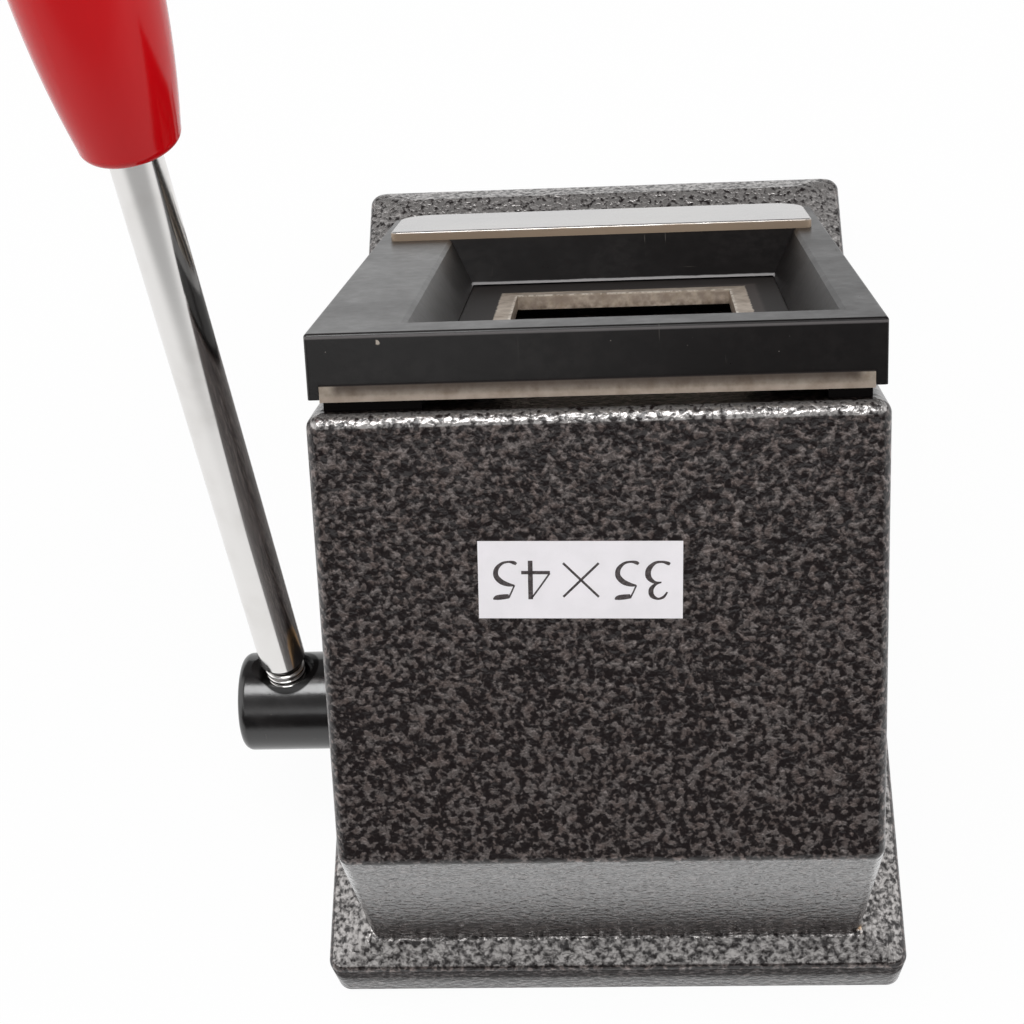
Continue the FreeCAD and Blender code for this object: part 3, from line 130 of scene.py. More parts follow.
class Graph:
    """Short ways to add nodes to a tree. Each value is a number, a tuple or another node's output."""

    def __init__(self, tree):
        self.tree = tree

    def node(self, kind, sockets=None, **settings):
        """A new node with its settings, and values or links for its sockets."""
        made = self.tree.nodes.new(kind)
        for name, value in settings.items():
            setattr(made, name, value)
        for key, value in (sockets or {}).items():
            self.feed(made.inputs[key], value)
        return made

    def feed(self, socket, value):
        """Link an output to a socket, or set the socket to a value."""
        if isinstance(value, bpy.types.NodeSocket):
            self.tree.links.new(value, socket)
        else:
            socket.default_value = value

    def coordinates(self, kind):
        return self.node("ShaderNodeTexCoord").outputs[kind]

    def ray(self, kind):
        return self.node("ShaderNodeLightPath").outputs[kind]

    def parts(self, vector):
        return self.node("ShaderNodeSeparateXYZ", {0: vector}).outputs

    def math(self, operation, first, second=0.0):
        return self.node("ShaderNodeMath", {0: first, 1: second}, operation=operation).outputs[0]

    def times(self, first, *others):
        for other in others:
            first = self.math("MULTIPLY", first, other)
        return first

    def plus(self, first, second):
        return self.math("ADD", first, second)

    def minus(self, first, second):
        return self.math("SUBTRACT", first, second)

    def larger(self, first, second):
        return self.math("MAXIMUM", first, second)

    def ramp(self, value, low, high, first=0.0, last=1.0):
        """First below low, last above high, and a soft step between. Low may be the larger."""
        sockets = {"Value": value, "From Min": low, "From Max": high, "To Min": first, "To Max": last}
        return self.node("ShaderNodeMapRange", sockets, interpolation_type="SMOOTHSTEP").outputs["Result"]

    def blend(self, share, first, second):
        return self.node("ShaderNodeMix", {0: share, 2: first, 3: second}, data_type="FLOAT").outputs[0]


class Finish(Graph):
    """A material under construction: a Principled shader and the nodes before it."""

    def __init__(self, name):
        self.material = bpy.data.materials.new(name)
        self.material.use_nodes = True
        super().__init__(self.material.node_tree)
        self.shader = self.tree.nodes["Principled BSDF"]
        self.place = self.coordinates("Object")

    def set(self, **sockets):
        for name, value in sockets.items():
            self.feed(self.shader.inputs[name.replace("_", " ")], value)

    def mix(self, share, first, second):
        sockets = {0: share, 6: colour(first), 7: colour(second)}
        return self.node("ShaderNodeMix", sockets, data_type="RGBA").outputs[2]

    def noise(self, scale, detail=2.0, roughness=0.5, distortion=0.0, place=None):
        sockets = {"Vector": place or self.place, "Scale": scale, "Detail": detail, "Roughness": roughness,
                   "Distortion": distortion}
        return self.node("ShaderNodeTexNoise", sockets).outputs["Fac"]

    def cells(self, scale):
        return self.node("ShaderNodeTexVoronoi", {"Vector": self.place, "Scale": scale}).outputs["Distance"]

    def stretched(self, scale, place=None):
        return self.node("ShaderNodeMapping", {"Vector": place or self.place, "Scale": scale}).outputs["Vector"]

    def lines(self, scale, place=None):
        """Tool lines: noise drawn out along the axis with the smallest scale."""
        return self.noise(1.0, 3.0, 0.6, place=self.stretched(scale, place))

    def in_frame(self, origin, turn):
        """Object coordinates seen from a frame at origin, turned by Euler angles."""
        sockets = {"Vector": self.place, "Location": origin, "Rotation": turn}
        return self.node("ShaderNodeMapping", sockets, vector_type="TEXTURE").outputs["Vector"]

    def waver(self, noise, size):
        """A length that wavers about zero with the noise."""
        return self.times(self.minus(noise, 0.5), size)

    def near(self, point, radius, soft):
        """1 within a radius of a point, 0 outside, with a ragged edge."""
        away = self.node("ShaderNodeVectorMath", {0: self.place, 1: point}, operation="DISTANCE").outputs["Value"]
        away = self.plus(away, self.waver(self.noise(1400, 3), soft * 3))
        return self.ramp(away, radius + soft / 2, radius - soft / 2)

    def lie(self):
        """How squarely the surface faces the rear, and how flat it lies, each 0 to 1."""
        facing = self.parts(self.coordinates("Normal"))
        level = self.math("ABSOLUTE", facing[2])
        rear = self.times(self.ramp(level, 0.35, 0.10), self.ramp(facing[1], 0.3, 0.7))
        return rear, self.ramp(level, 0.74, 0.82)

    def bump(self, height, strength, distance):
        """A bump over those already there."""
        normal = self.shader.inputs["Normal"]
        made = self.node("ShaderNodeBump", {"Height": height, "Strength": strength, "Distance": distance})
        if normal.is_linked:
            self.feed(made.inputs["Normal"], normal.links[0].from_socket)
        self.feed(normal, made.outputs["Normal"])
        return made.outputs["Normal"]


# --- finishes -------------------------------------------------------------------------------------

def hammertone_paint(settings):
    """Stoved hammertone enamel: glossy dark pools between veins of metal flake."""
    finish = Finish("hammertone_enamel")
    rear, flat = finish.lie()
    height = finish.parts(finish.place)[2]

    grain = settings.pool_scale
    drift = finish.node("ShaderNodeTexNoise", {"Vector": finish.place, "Scale": grain * 0.7}).outputs["Color"]
    warped = finish.node("ShaderNodeVectorMath", {0: drift, 1: (settings.pool_warp,) * 3, 2: finish.place},
                         operation="MULTIPLY_ADD").outputs[0]
    pools = finish.noise(grain, 1.0, place=warped)
    fine = finish.noise(grain * 2.6, 1.5, 0.6, place=warped)
    field = finish.plus(finish.times(pools, 0.72), finish.times(fine, 0.28))
    # Painted light: faces that lie flat get more of the pale veins, so they read lighter.
    field = finish.plus(field, finish.times(flat, settings.top_light_gain))
    veins = finish.ramp(field, settings.vein_edge - settings.vein_softness,
                        settings.vein_edge + settings.vein_softness)
    # Painted shade: on the rear wall the pale veins partly give way to the dark pools.
    veins = finish.blend(finish.times(rear, settings.rear_shade_calm), veins, 0.08)

    # Painted shade: the base's rear edge is darkened and duller, and the coat of the rear wall thins downwards,
    # darkening its lower part.
    shaded_base_edge = finish.times(finish.ramp(height, 0.0138, 0.0112), rear, finish.ramp(height, 0.0030, 0.0085))
    veins = finish.times(veins, finish.blend(shaded_base_edge, 1.0, 0.7))
    coat = finish.blend(veins, settings.pool_coat, settings.vein_coat)
    rear_shade_coat = finish.blend(finish.ramp(height, 0.014, 0.046), 0.22, 0.96)

    warmth = finish.ramp(finish.noise(grain * 0.5), 0.35, 0.68)
    flake = finish.mix(warmth, settings.vein_colour, settings.vein_warm_colour)
    # Painted light: where the surface lies flat the flake is paler.
    flake = finish.mix(flat, flake, (0.42, 0.40, 0.39))
    base = finish.mix(veins, settings.pool_colour, flake)
    base = finish.mix(finish.near(CASTING_CHIP, 0.0009, 0.0006), base, (0.42, 0.27, 0.15))
    finish.set(Base_Color=base,
               Metallic=finish.times(veins, finish.blend(rear, settings.flake_metal, 0.7)),
               Roughness=finish.blend(rear, finish.blend(veins, 0.30, settings.flake_roughness), 0.16),
               Specular_IOR_Level=finish.blend(shaded_base_edge, finish.blend(rear, 0.42, 0.10), 0.0),
               Coat_Weight=finish.blend(shaded_base_edge, finish.blend(rear, coat, rear_shade_coat), 0.12),
               Coat_Roughness=finish.blend(rear, 0.20, 0.11),
               Coat_IOR=1.56)
    swell = finish.noise(grain * 0.8, place=warped)
    finish.set(Coat_Normal=finish.bump(finish.plus(finish.times(veins, 0.25), swell), 0.55, 0.0004))
    finish.bump(finish.noise(18.0), 0.10, 0.0015)
    return finish.material


def satin_black(name, settings, wear_and_light=None, roughness=0.0, level=0.42):
    """Satin black finish with faint handling marks and hairline scratches. The wear_and_light hook adds a piece's
    own wear marks and painted highlights and shade.
    """
    finish = Finish(name)
    cloud = finish.ramp(finish.noise(90.0, 3.0), 0.3, 0.7)
    mottle = finish.noise(520.0, 4.0, 0.65)
    handled = finish.times(cloud, finish.ramp(mottle, 0.35, 0.65))
    base = finish.mix(handled, settings.black_colour, settings.black_worn_colour)

    hairs = finish.noise(60.0, 2.0, 0.4, place=finish.stretched((26.0, 1.2, 1.2)))
    cross = finish.noise(70.0, 2.0, 0.4, place=finish.stretched((1.4, 22.0, 22.0)))
    scratch = finish.larger(finish.ramp(hairs, 0.735, 0.76), finish.ramp(cross, 0.745, 0.77))
    scratch = finish.times(scratch, finish.ramp(finish.noise(38.0), 0.52, 0.66))
    base = finish.mix(finish.times(scratch, 0.35), base, (0.16, 0.145, 0.13))
    dust = finish.times(finish.ramp(finish.cells(520.0), 0.055, 0.03),
                        finish.ramp(finish.noise(120.0), 0.55, 0.6))
    base = finish.mix(finish.times(dust, 0.5), base, (0.30, 0.27, 0.25))
    if wear_and_light:
        base, level = wear_and_light(finish, base, level)

    rough = finish.blend(cloud, settings.black_roughness - 0.03, settings.black_roughness + 0.04)
    rough = finish.plus(finish.plus(rough, finish.waver(mottle, 0.16)), roughness)
    finish.set(Base_Color=base, Specular_IOR_Level=level,
               Roughness=finish.plus(rough, finish.times(scratch, 0.15)))
    finish.bump(mottle, 0.16, 0.00010)
    finish.bump(finish.noise(1500.0), 0.10, 0.00006)
    return finish.material


def frame_wear_and_highlights(finish, base, level):
    """Marks on the frame: a chip of wear, a painted highlight along the near face's top edge, and a painted
    highlight at the foot of the recess's lower wall.
    """
    chip = finish.near(head_matrix() @ FRAME_CHIP, 0.0003, 0.0002)
    base = finish.mix(chip, base, (0.38, 0.33, 0.28))
    x, y, z = finish.parts(finish.in_frame(HEAD_ORIGIN, (HEAD_TILT, 0.0, 0.0)))
    height = finish.plus(z, finish.waver(finish.noise(500.0), 0.0002))
    # Painted highlight: a light line at the foot of the recess's lower wall.
    foot = finish.times(finish.ramp(height, DIE_TOP + 0.00075, DIE_TOP + 0.00055),
                        finish.ramp(y, RECESS_FOOT_TOP, RECESS_FOOT_TOP - 0.0004),
                        finish.ramp(y, RECESS_FOOT_END, RECESS_FOOT_END + 0.0004),
                        finish.ramp(finish.math("ABSOLUTE", x), RECESS_FOOT_HALF, RECESS_FOOT_HALF - 0.001))
    base = finish.mix(finish.times(foot, 0.9), base, (0.33, 0.32, 0.32))
    # Painted highlight: a light band just below the near face's top edge.
    drop = finish.minus(FRAME_TOP, z)
    edge_highlight = finish.times(finish.ramp(drop, 0.00085, 0.00060), finish.ramp(drop, 0.00030, 0.00045),
                          finish.ramp(y, -0.0009, -0.0006))
    base = finish.mix(finish.times(edge_highlight, 0.8), base, (0.14, 0.13, 0.13))
    return base, finish.blend(finish.ramp(x, -0.030, 0.036), level * 0.32, level * 1.25)


def shaft_sink_shade(finish, base, level):
    """Painted shade in the lever's countersink: near-black colour and a weak reflection."""
    x, y, z = finish.parts(finish.in_frame(ROD_FOOT, (ROD_LEAN, 0.0, 0.0)))
    reach = finish.math("SQRT", finish.plus(finish.times(x, x), finish.times(y, y)))
    sink_shade = finish.times(finish.ramp(reach, COUNTERSINK_RADIUS, COUNTERSINK_RADIUS - 0.0003),
                        finish.ramp(z, 0.0, 0.001))
    base = finish.mix(sink_shade, base, (0.004, 0.0035, 0.0035))
    return base, finish.blend(sink_shade, level, 0.08)


def bare_metal(name, tint, dark_tint, roughness, lines, line_axis=0):
    """Bare metal with fine tool lines along one axis and a faint stain."""
    finish = Finish(name)
    squeeze = [lines] * 3
    squeeze[line_axis] = lines * 0.02
    grain = finish.lines(squeeze)
    stain = finish.ramp(finish.noise(70.0, 4.0, 0.6), 0.35, 0.75)
    finish.set(Base_Color=finish.mix(finish.times(stain, 0.3), tint, dark_tint), Metallic=1.0,
               Roughness=finish.blend(grain, roughness - 0.06, roughness + 0.10))
    finish.bump(grain, 0.10, 0.00005)
    return finish.material


def die_steel(settings):
    """Blackened plate: bare in a rim round the window and on its ground edges, with a painted glint at the window's
    edge, painted shade lower in its walls and painted shade and reflection at the upper end.
    """
    finish = Finish("ground_die_steel")
    local = finish.in_frame(HEAD_ORIGIN, (HEAD_TILT, 0.0, 0.0))
    x, y, z = finish.parts(local)
    reach = finish.larger(*(
        finish.minus(finish.math("ABSOLUTE", finish.minus(along, middle)), half)
        for along, middle, half in ((x, WINDOW.x, WINDOW_HALF.x), (y, WINDOW.y, WINDOW_HALF.y))))
    ragged = finish.waver(finish.noise(900.0, 3.0), 0.0005)
    reach = finish.plus(reach, ragged)
    height = finish.plus(z, finish.times(ragged, 0.5))
    on_top = finish.ramp(z, DIE_TOP - 0.0003, DIE_TOP - 0.0001)
    rim = settings.bare_rim
    stain = finish.ramp(finish.noise(420.0, 4.0, 0.6), 0.30, 0.80)
    bare = finish.mix(stain, settings.die_colour, settings.die_stain_colour)

    # The window's walls are streaked, and painted shade darkens them lower down.
    wall = finish.times(finish.ramp(reach, 0.0001, -0.0001), finish.ramp(z, DIE_TOP - 0.0002, DIE_TOP - 0.0005))
    depth = finish.plus(z, finish.waver(finish.lines((1500.0, 900.0, 500.0), local), 0.0016))
    shaded_wall_tone = finish.mix(finish.ramp(depth, DIE_TOP - 0.0012, DIE_TOP - 0.0028),
                      (0.36, 0.295, 0.25), (0.105, 0.080, 0.064))
    bare = finish.mix(finish.times(wall, 0.85), bare, shaded_wall_tone)

    # The upper end carries painted shade, dark brown on its upper part, over a painted reflection, a bright lower
    # line.
    at_end = finish.ramp(y, -0.0004, -0.0002)
    end_shade = finish.times(finish.ramp(height, DIE_LOW + 0.0002, DIE_LOW + 0.0021), at_end,
                         finish.ramp(finish.math("ABSOLUTE", x), 0.0362, 0.0345))
    bare = finish.mix(finish.times(end_shade, 0.85), bare, (0.085, 0.064, 0.055))
    reflection_line = finish.times(finish.ramp(height, DIE_LOW + 0.0010, DIE_LOW + 0.0006), at_end)
    bare = finish.mix(finish.times(reflection_line, 0.35), bare, (0.62, 0.50, 0.42))
    # Painted glint: light flecks along the window's edge on the top face.
    glint = finish.times(finish.ramp(reach, 0.00055, 0.0002), on_top)
    glint = finish.times(glint, finish.ramp(finish.noise(1300.0, 3.0), 0.4, 0.6))
    bare = finish.mix(glint, bare, (0.86, 0.80, 0.72))

    specks = finish.ramp(finish.cells(420.0), 0.10, 0.05)
    black = finish.mix(finish.times(specks, 0.25), (0.016, 0.013, 0.0125), (0.12, 0.09, 0.07))
    thin = finish.times(finish.ramp(reach, rim + 0.0022, rim + 0.0014), finish.ramp(x, WINDOW.x, -0.030))
    black = finish.mix(finish.times(thin, 0.6), black, (0.075, 0.062, 0.058))
    blackened = finish.times(finish.ramp(reach, rim - 0.00015, rim + 0.00015), on_top)
    lines = finish.lines((60.0, 2600.0, 2600.0), local)
    finish.set(Base_Color=finish.mix(blackened, bare, black),
               Metallic=finish.minus(1.0, finish.times(blackened, 0.8)),
               Roughness=finish.blend(blackened, finish.blend(lines, 0.34, 0.56), 0.62),
               Specular_IOR_Level=finish.blend(blackened, 0.5, 0.18))
    finish.bump(lines, 0.14, 0.00006)
    return finish.material


def polished_strip(settings):
    """Polished face, with brown, rougher edges."""
    finish = Finish("polished_strip")
    local = finish.in_frame(HEAD_ORIGIN, (HEAD_TILT, 0.0, 0.0))
    depth = finish.plus(finish.parts(local)[2], finish.waver(finish.noise(260.0, 3.0), 0.0003))
    edge = finish.ramp(depth, STRIP_TOP - 0.00008, STRIP_TOP - 0.00045)
    lines = finish.lines((40.0, 2400.0, 2400.0), local)
    cloud = finish.ramp(finish.noise(45.0, 3.0), 0.4, 0.7)
    face = finish.mix(finish.times(cloud, 0.35), settings.strip_colour, (0.40, 0.395, 0.41))
    finish.set(Base_Color=finish.mix(edge, face, settings.strip_edge_colour),
               Metallic=finish.blend(edge, 0.9, 0.55),
               Roughness=finish.blend(edge, finish.blend(lines, 0.20, 0.30), 0.48))
    finish.bump(lines, 0.06, 0.00004)
    finish.bump(finish.noise(30.0), 0.06, 0.0008)
    return finish.material


def chrome_plate():
    """Bright chrome over a turned rod."""
    finish = Finish("chrome_plate")
    rings = finish.lines((70.0, 70.0, 5200.0), finish.in_frame(ROD_FOOT, (ROD_LEAN, 0.0, 0.0)))
    haze = finish.ramp(finish.noise(110.0, 4.0), 0.45, 0.8)
    finish.set(Base_Color=finish.mix(haze, (0.78, 0.765, 0.75), (0.70, 0.68, 0.66)), Metallic=1.0,
               Roughness=finish.blend(haze, 0.13, 0.19))
    finish.bump(rings, 0.05, 0.00003)
    return finish.material


def glossy_red(settings):
    """Moulded glossy plastic with a faint flow texture."""
    finish = Finish("glossy_red_plastic")
    flow = finish.noise(28.0, 3.0, 0.5, 0.4, finish.stretched((1.0, 1.0, 0.3)))
    base = finish.mix(finish.ramp(flow, 0.3, 0.7), settings.grip_colour, settings.grip_deep_colour)
    finish.set(Base_Color=base, Roughness=finish.blend(finish.noise(60.0), 0.09, 0.15),
               IOR=1.5, Specular_IOR_Level=0.27, Subsurface_Weight=0.06,
               Subsurface_Radius=(0.004, 0.001, 0.001), Subsurface_Scale=0.5)
    finish.bump(finish.noise(40.0), 0.05, 0.0008)
    finish.bump(finish.noise(900.0), 0.03, 0.00005)
    return finish.material


def label_paper(settings):
    """Uncoated white sticker paper."""
    finish = Finish("label_paper")
    fibres = finish.noise(2600.0, 4.0, 0.7, 1.2)
    tone = finish.ramp(finish.noise(160.0, 3.0), 0.3, 0.7)
    base = finish.mix(tone, settings.paper_colour, (0.83, 0.805, 0.83))
    base = finish.mix(finish.times(finish.ramp(fibres, 0.5, 0.8), 0.12), base, (0.62, 0.60, 0.60))
    finish.set(Base_Color=base, Roughness=0.72)
    finish.bump(fibres, 0.12, 0.00004)
    return finish.material


def label_ink(settings):
    finish = Finish("label_ink")
    thin = finish.ramp(finish.noise(3000.0), 0.3, 0.75)
    finish.set(Base_Color=finish.mix(thin, settings.ink_colour, (0.10, 0.085, 0.085)), Roughness=0.55)
    return finish.material


def black_rubber():
    finish = Finish("black_rubber")
    pores = finish.noise(1500.0, 3.0, 0.6)
    base = finish.mix(finish.ramp(pores, 0.3, 0.7), (0.016, 0.016, 0.017), (0.034, 0.033, 0.033))
    finish.set(Base_Color=base, Roughness=finish.blend(pores, 0.62, 0.82))
    finish.bump(pores, 0.25, 0.0001)
    return finish.material


def sintered_bronze():
    finish = Finish("sintered_bronze")
    pores = finish.ramp(finish.cells(1500.0), 0.22, 0.10)
    cloud = finish.noise(180.0, 3.0)
    base = finish.mix(finish.ramp(cloud, 0.3, 0.7), (0.30, 0.19, 0.10), (0.20, 0.125, 0.07))
    finish.set(Base_Color=finish.mix(pores, base, (0.06, 0.035, 0.018)), Metallic=1.0,
               Roughness=finish.blend(cloud, 0.34, 0.5))
    finish.bump(pores, -0.2, 0.00005)
    return finish.material


# --- mesh helpers ---------------------------------------------------------------------------------

def put(name, data):
    """A new object in the scene."""
    made = bpy.data.objects.new(name, data)
    bpy.context.scene.collection.objects.link(made)
    return made


def coat_mesh(mesh, finish, smooth=False):
    """Give a mesh one finish, and smooth shading if asked."""
    mesh.materials.clear()
    mesh.materials.append(finish)
    if smooth:
        mesh.polygons.foreach_set("use_smooth", [True] * len(mesh.polygons))


def smooth_copy(node, name, finish, angle=32.0):
    """A merged, smooth-shaded copy of a CAD node that stands for it."""
    source = frame["nodes"][node]
    mesh = source.data.copy()
    mesh.name = name
    work = bmesh.new()
    work.from_mesh(mesh)
    bmesh.ops.remove_doubles(work, verts=work.verts, dist=1e-6)
    bmesh.ops.dissolve_degenerate(work, edges=work.edges, dist=1e-7)
    work.to_mesh(mesh)
    work.free()
    mesh.attributes.remove(mesh.attributes["custom_normal"])
    coat_mesh(mesh, finish, smooth=True)
    mesh.update()
    even_normals(mesh, math.cos(math.radians(angle)))
    piece = put(name, mesh)
    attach(piece, source["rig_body"])
    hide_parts(node)
    return piece


def even_normals(mesh, limit):
    """Corner normals that keep flat faces flat and turn only over roundings."""
    around = [[] for _ in mesh.vertices]
    for polygon in mesh.polygons:
        corners = [mesh.vertices[index].co for index in polygon.vertices]
        for place, index in enumerate(polygon.vertices):
            before = corners[place - 1] - corners[place]
            after = corners[(place + 1) % len(corners)] - corners[place]
            around[index].append((polygon.normal, polygon.area * before.angle(after, 0.0)))
    normals = []
    for polygon in mesh.polygons:
        for index in polygon.vertices:
            total = Vector()
            for normal, weight in around[index]:
                if normal.dot(polygon.normal) > limit:
                    total += normal * weight
            normals.append(total.normalized() if total.length > 0.0 else polygon.normal.copy())
    mesh.normals_split_custom_set(normals)


def round_off(piece, point, axis, radius):
    """Exact normals on a round bar, whose long triangles bend the light."""
    mesh = piece.data
    normals = [Vector(corner.vector) for corner in mesh.corner_normals]
    for polygon in mesh.polygons:
        for loop in polygon.loop_indices:
            place = mesh.vertices[mesh.loops[loop].vertex_index].co - point
            away = place - axis * place.dot(axis)
            if abs(away.length - radius) < 2e-5 and away.normalized().dot(polygon.normal) > 0.96:
                normals[loop] = away.normalized()
    mesh.normals_split_custom_set(normals)


def dress(nodes, finish):
    """Give CAD nodes that keep their own mesh a finish."""
    for node in nodes:
        coat_mesh(frame["nodes"][node].data, finish)


def new_piece(name, mesh, body):
    """An object of the scene alone, placed in the row frame."""
    piece = put(name, mesh)
    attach(piece, body)
    return piece


# --- thread, made with geometry nodes -------------------------------------------------------------

def thread_tree():
    """Node tree that winds a screw thread's ridge. Its sizes are inputs of the group."""
    tree = bpy.data.node_groups.new("screw_thread", "GeometryNodeTree")
    tree.is_modifier = True
    face = tree.interface
    face.new_socket("Geometry", in_out="OUTPUT", socket_type="NodeSocketGeometry")
    for name, default in (("Radius", 0.003), ("Pitch", 0.001), ("Turns", 3.0), ("Ridge", 0.0003)):
        socket = face.new_socket(name, in_out="INPUT", socket_type="NodeSocketFloat")
        socket.default_value = default
    face.new_socket("Finish", in_out="INPUT", socket_type="NodeSocketMaterial")
    graph = Graph(tree)
    start = graph.node("NodeGroupInput")
    radius, turns = start.outputs["Radius"], start.outputs["Turns"]
    spiral = graph.node("GeometryNodeCurveSpiral", {
        "Resolution": 28, "Rotations": turns, "Start Radius": radius, "End Radius": radius,
        "Height": graph.times(start.outputs["Pitch"], turns)})
    ring = graph.node("GeometryNodeCurvePrimitiveCircle", {"Resolution": 8, "Radius": start.outputs["Ridge"]})
    sweep = graph.node("GeometryNodeCurveToMesh", {
        "Curve": spiral.outputs[0], "Profile Curve": ring.outputs[0], "Fill Caps": True})
    smooth = graph.node("GeometryNodeSetShadeSmooth", {0: sweep.outputs[0]})
    whole = graph.node("GeometryNodeRealizeInstances", {0: smooth.outputs[0]})
    paint = graph.node("GeometryNodeSetMaterial", {
        "Geometry": whole.outputs[0], "Material": start.outputs["Finish"]})
    graph.node("NodeGroupOutput", {0: paint.outputs[0]})
    return tree


def wind_thread(name, tree, sizes, finish, matrix):
    """The mesh of one thread from the tree, set in place."""
    holder = put(name + "_holder", bpy.data.meshes.new(name + "_holder"))
    modifier = holder.modifiers.new("thread", "NODES")
    modifier.node_group = tree
    values = dict(sizes, Finish=finish)
    for item in tree.interface.items_tree:
        if item.item_type == "SOCKET" and item.in_out == "INPUT":
            modifier[item.identifier] = values[item.name]
    graph = bpy.context.evaluated_depsgraph_get()
    mesh = bpy.data.meshes.new_from_object(holder.evaluated_get(graph))
    bpy.data.objects.remove(holder)
    mesh.name = name
    mesh.transform(matrix)
    return mesh


# --- numerals -------------------------------------------------------------------------------------

# Each stroke is a run of (right, up, width) in millimetres about the middle of its numeral. The pen
# thickens and thins as in an old book face.
THREE = (
    ((-1.25, 1.75, 0.22), (-0.75, 2.45, 0.36), (0.05, 2.72, 0.32), (0.85, 2.25, 0.66), (0.95, 1.35, 0.66),
     (0.35, 0.62, 0.36), (-0.45, 0.32, 0.20)),
    ((-0.30, 0.36, 0.20), (0.55, 0.30, 0.44), (1.32, -0.45, 0.78), (1.28, -1.55, 0.74), (0.45, -2.45, 0.42),
     (-0.55, -2.62, 0.32), (-1.35, -2.40, 0.50), (-1.60, -2.28, 0.34)),
)
FIVE = (
    ((-0.50, 2.36, 0.62), (0.35, 2.46, 0.74), (1.20, 2.58, 0.66), (1.66, 2.80, 0.16)),
    ((-0.46, 2.62, 0.26), (-0.90, 1.72, 0.22), (-1.30, 0.78, 0.22)),
    ((-1.32, 0.80, 0.20), (-0.45, 0.66, 0.56), (0.55, 0.22, 0.74), (1.22, -0.62, 0.72), (1.12, -1.62, 0.62),
     (0.35, -2.42, 0.38), (-0.60, -2.64, 0.30), (-1.30, -2.50, 0.50), (-1.62, -2.30, 0.34)),
)
FOUR = (
    ((0.72, 2.80, 0.64), (0.72, 0.0, 0.66), (0.72, -2.80, 0.64)),
    ((0.60, 2.66, 0.24), (-0.66, 0.90, 0.24), (-1.95, -0.98, 0.24)),
    ((-1.98, -1.08, 0.48), (0.0, -1.08, 0.48), (1.98, -1.08, 0.48)),
)
CROSS = (
    ((-2.45, 2.45, 0.32), (0.0, 0.0, 0.34), (2.45, -2.45, 0.32)),
    ((-2.45, -2.45, 0.32), (0.0, 0.0, 0.34), (2.45, 2.45, 0.32)),
)
# Each numeral with its place along the label, in millimetres.
NUMERALS = ((THREE, -10.7), (FIVE, -6.4), (CROSS, -0.1), (FOUR, 6.15), (FIVE, 10.4))


def pen_line(points, steps=7):
    """A smooth run through the stroke's points, as (right, up, width). Three points stay as they are."""
    if len(points) == 3:
        return list(points)
    padded = [points[0], *points, points[-1]]
    line = []
    for index in range(1, len(padded) - 2):
        before, here, there, after = padded[index - 1:index + 3]
        for step in range(steps):
            t = step / steps
            line.append(tuple(
                0.5 * (2 * b + (c - a) * t + (2 * a - 5 * b + 4 * c - d) * t * t + (3 * b - a - 3 * c + d) * t ** 3)
                for a, b, c, d in zip(before, here, there, after)))
    line.append(points[-1])
    return line


def draw_stroke(work, points, offset, matrix, thickness):
    """One pen stroke as a thin closed ribbon on the label."""
    line = pen_line(points)
    rims = []
    for index, (x, y, width) in enumerate(line):
        behind, ahead = line[max(index - 1, 0)], line[min(index + 1, len(line) - 1)]
        way = Vector((ahead[0] - behind[0], ahead[1] - behind[1], 0.0)).normalized()
        side = Vector((-way.y, way.x, 0.0)) * (width / 2)
        middle = Vector((x + offset, y, 0.0))
        rims.append([work.verts.new(matrix @ ((middle + edge + Vector((0.0, 0.0, level))) * MM))
                     for edge, level in ((side, thickness), (-side, thickness), (-side, 0.0), (side, 0.0))])
    for first, second in zip(rims, rims[1:]):
        for corner in range(4):
            following = (corner + 1) % 4
            work.faces.new((first[corner], first[following], second[following], second[corner]))
    work.faces.new(rims[0])
    work.faces.new(reversed(rims[-1]))


def numerals_mesh(name, matrix, thickness, finish):
    """All the numerals as one mesh, in the row frame."""
    work = bmesh.new()
    for strokes, offset in NUMERALS:
        for stroke in strokes:
            draw_stroke(work, stroke, offset, matrix, thickness)
    bmesh.ops.remove_doubles(work, verts=work.verts, dist=1e-7)
    bmesh.ops.recalc_face_normals(work, faces=work.faces)
    mesh = bpy.data.meshes.new(name)
    work.to_mesh(mesh)
    work.free()
    coat_mesh(mesh, finish, smooth=True)
    mesh.set_sharp_from_angle(angle=math.radians(30.0))
    return mesh


def label_matrix(settings):
    """The printed face of the label: X to the reader's right, Y up for the operator, Z out of the paper."""
    middle = head_matrix() @ Vector((settings.label_offset, 0.0, -settings.label_drop))
    turn = Matrix.Rotation(HEAD_TILT - math.pi / 2, 4, "X") @ Matrix.Rotation(-settings.label_tilt, 4, "Z")
    return Matrix.Translation(middle) @ turn @ Matrix.Translation((0.0, 0.0, LABEL_THICKNESS))


# --- settings -------------------------------------------------------------------------------------

def tint(name, description, default):
    return bpy.props.FloatVectorProperty(name=name, description=description, default=default, size=3,
                                         subtype="COLOR", min=0.0, max=1.0)


def number(name, description, default, **rest):
    return bpy.props.FloatProperty(name=name, description=description, default=default, **rest)


def share(name, description, default):
    return number(name, description, default, subtype="FACTOR", min=0.0, max=1.0)


def length(name, description, default):
    return number(name, description, default, unit="LENGTH")


def vector(name, description, default, **rest):
    return bpy.props.FloatVectorProperty(name=name, description=description, default=default, size=3, **rest)


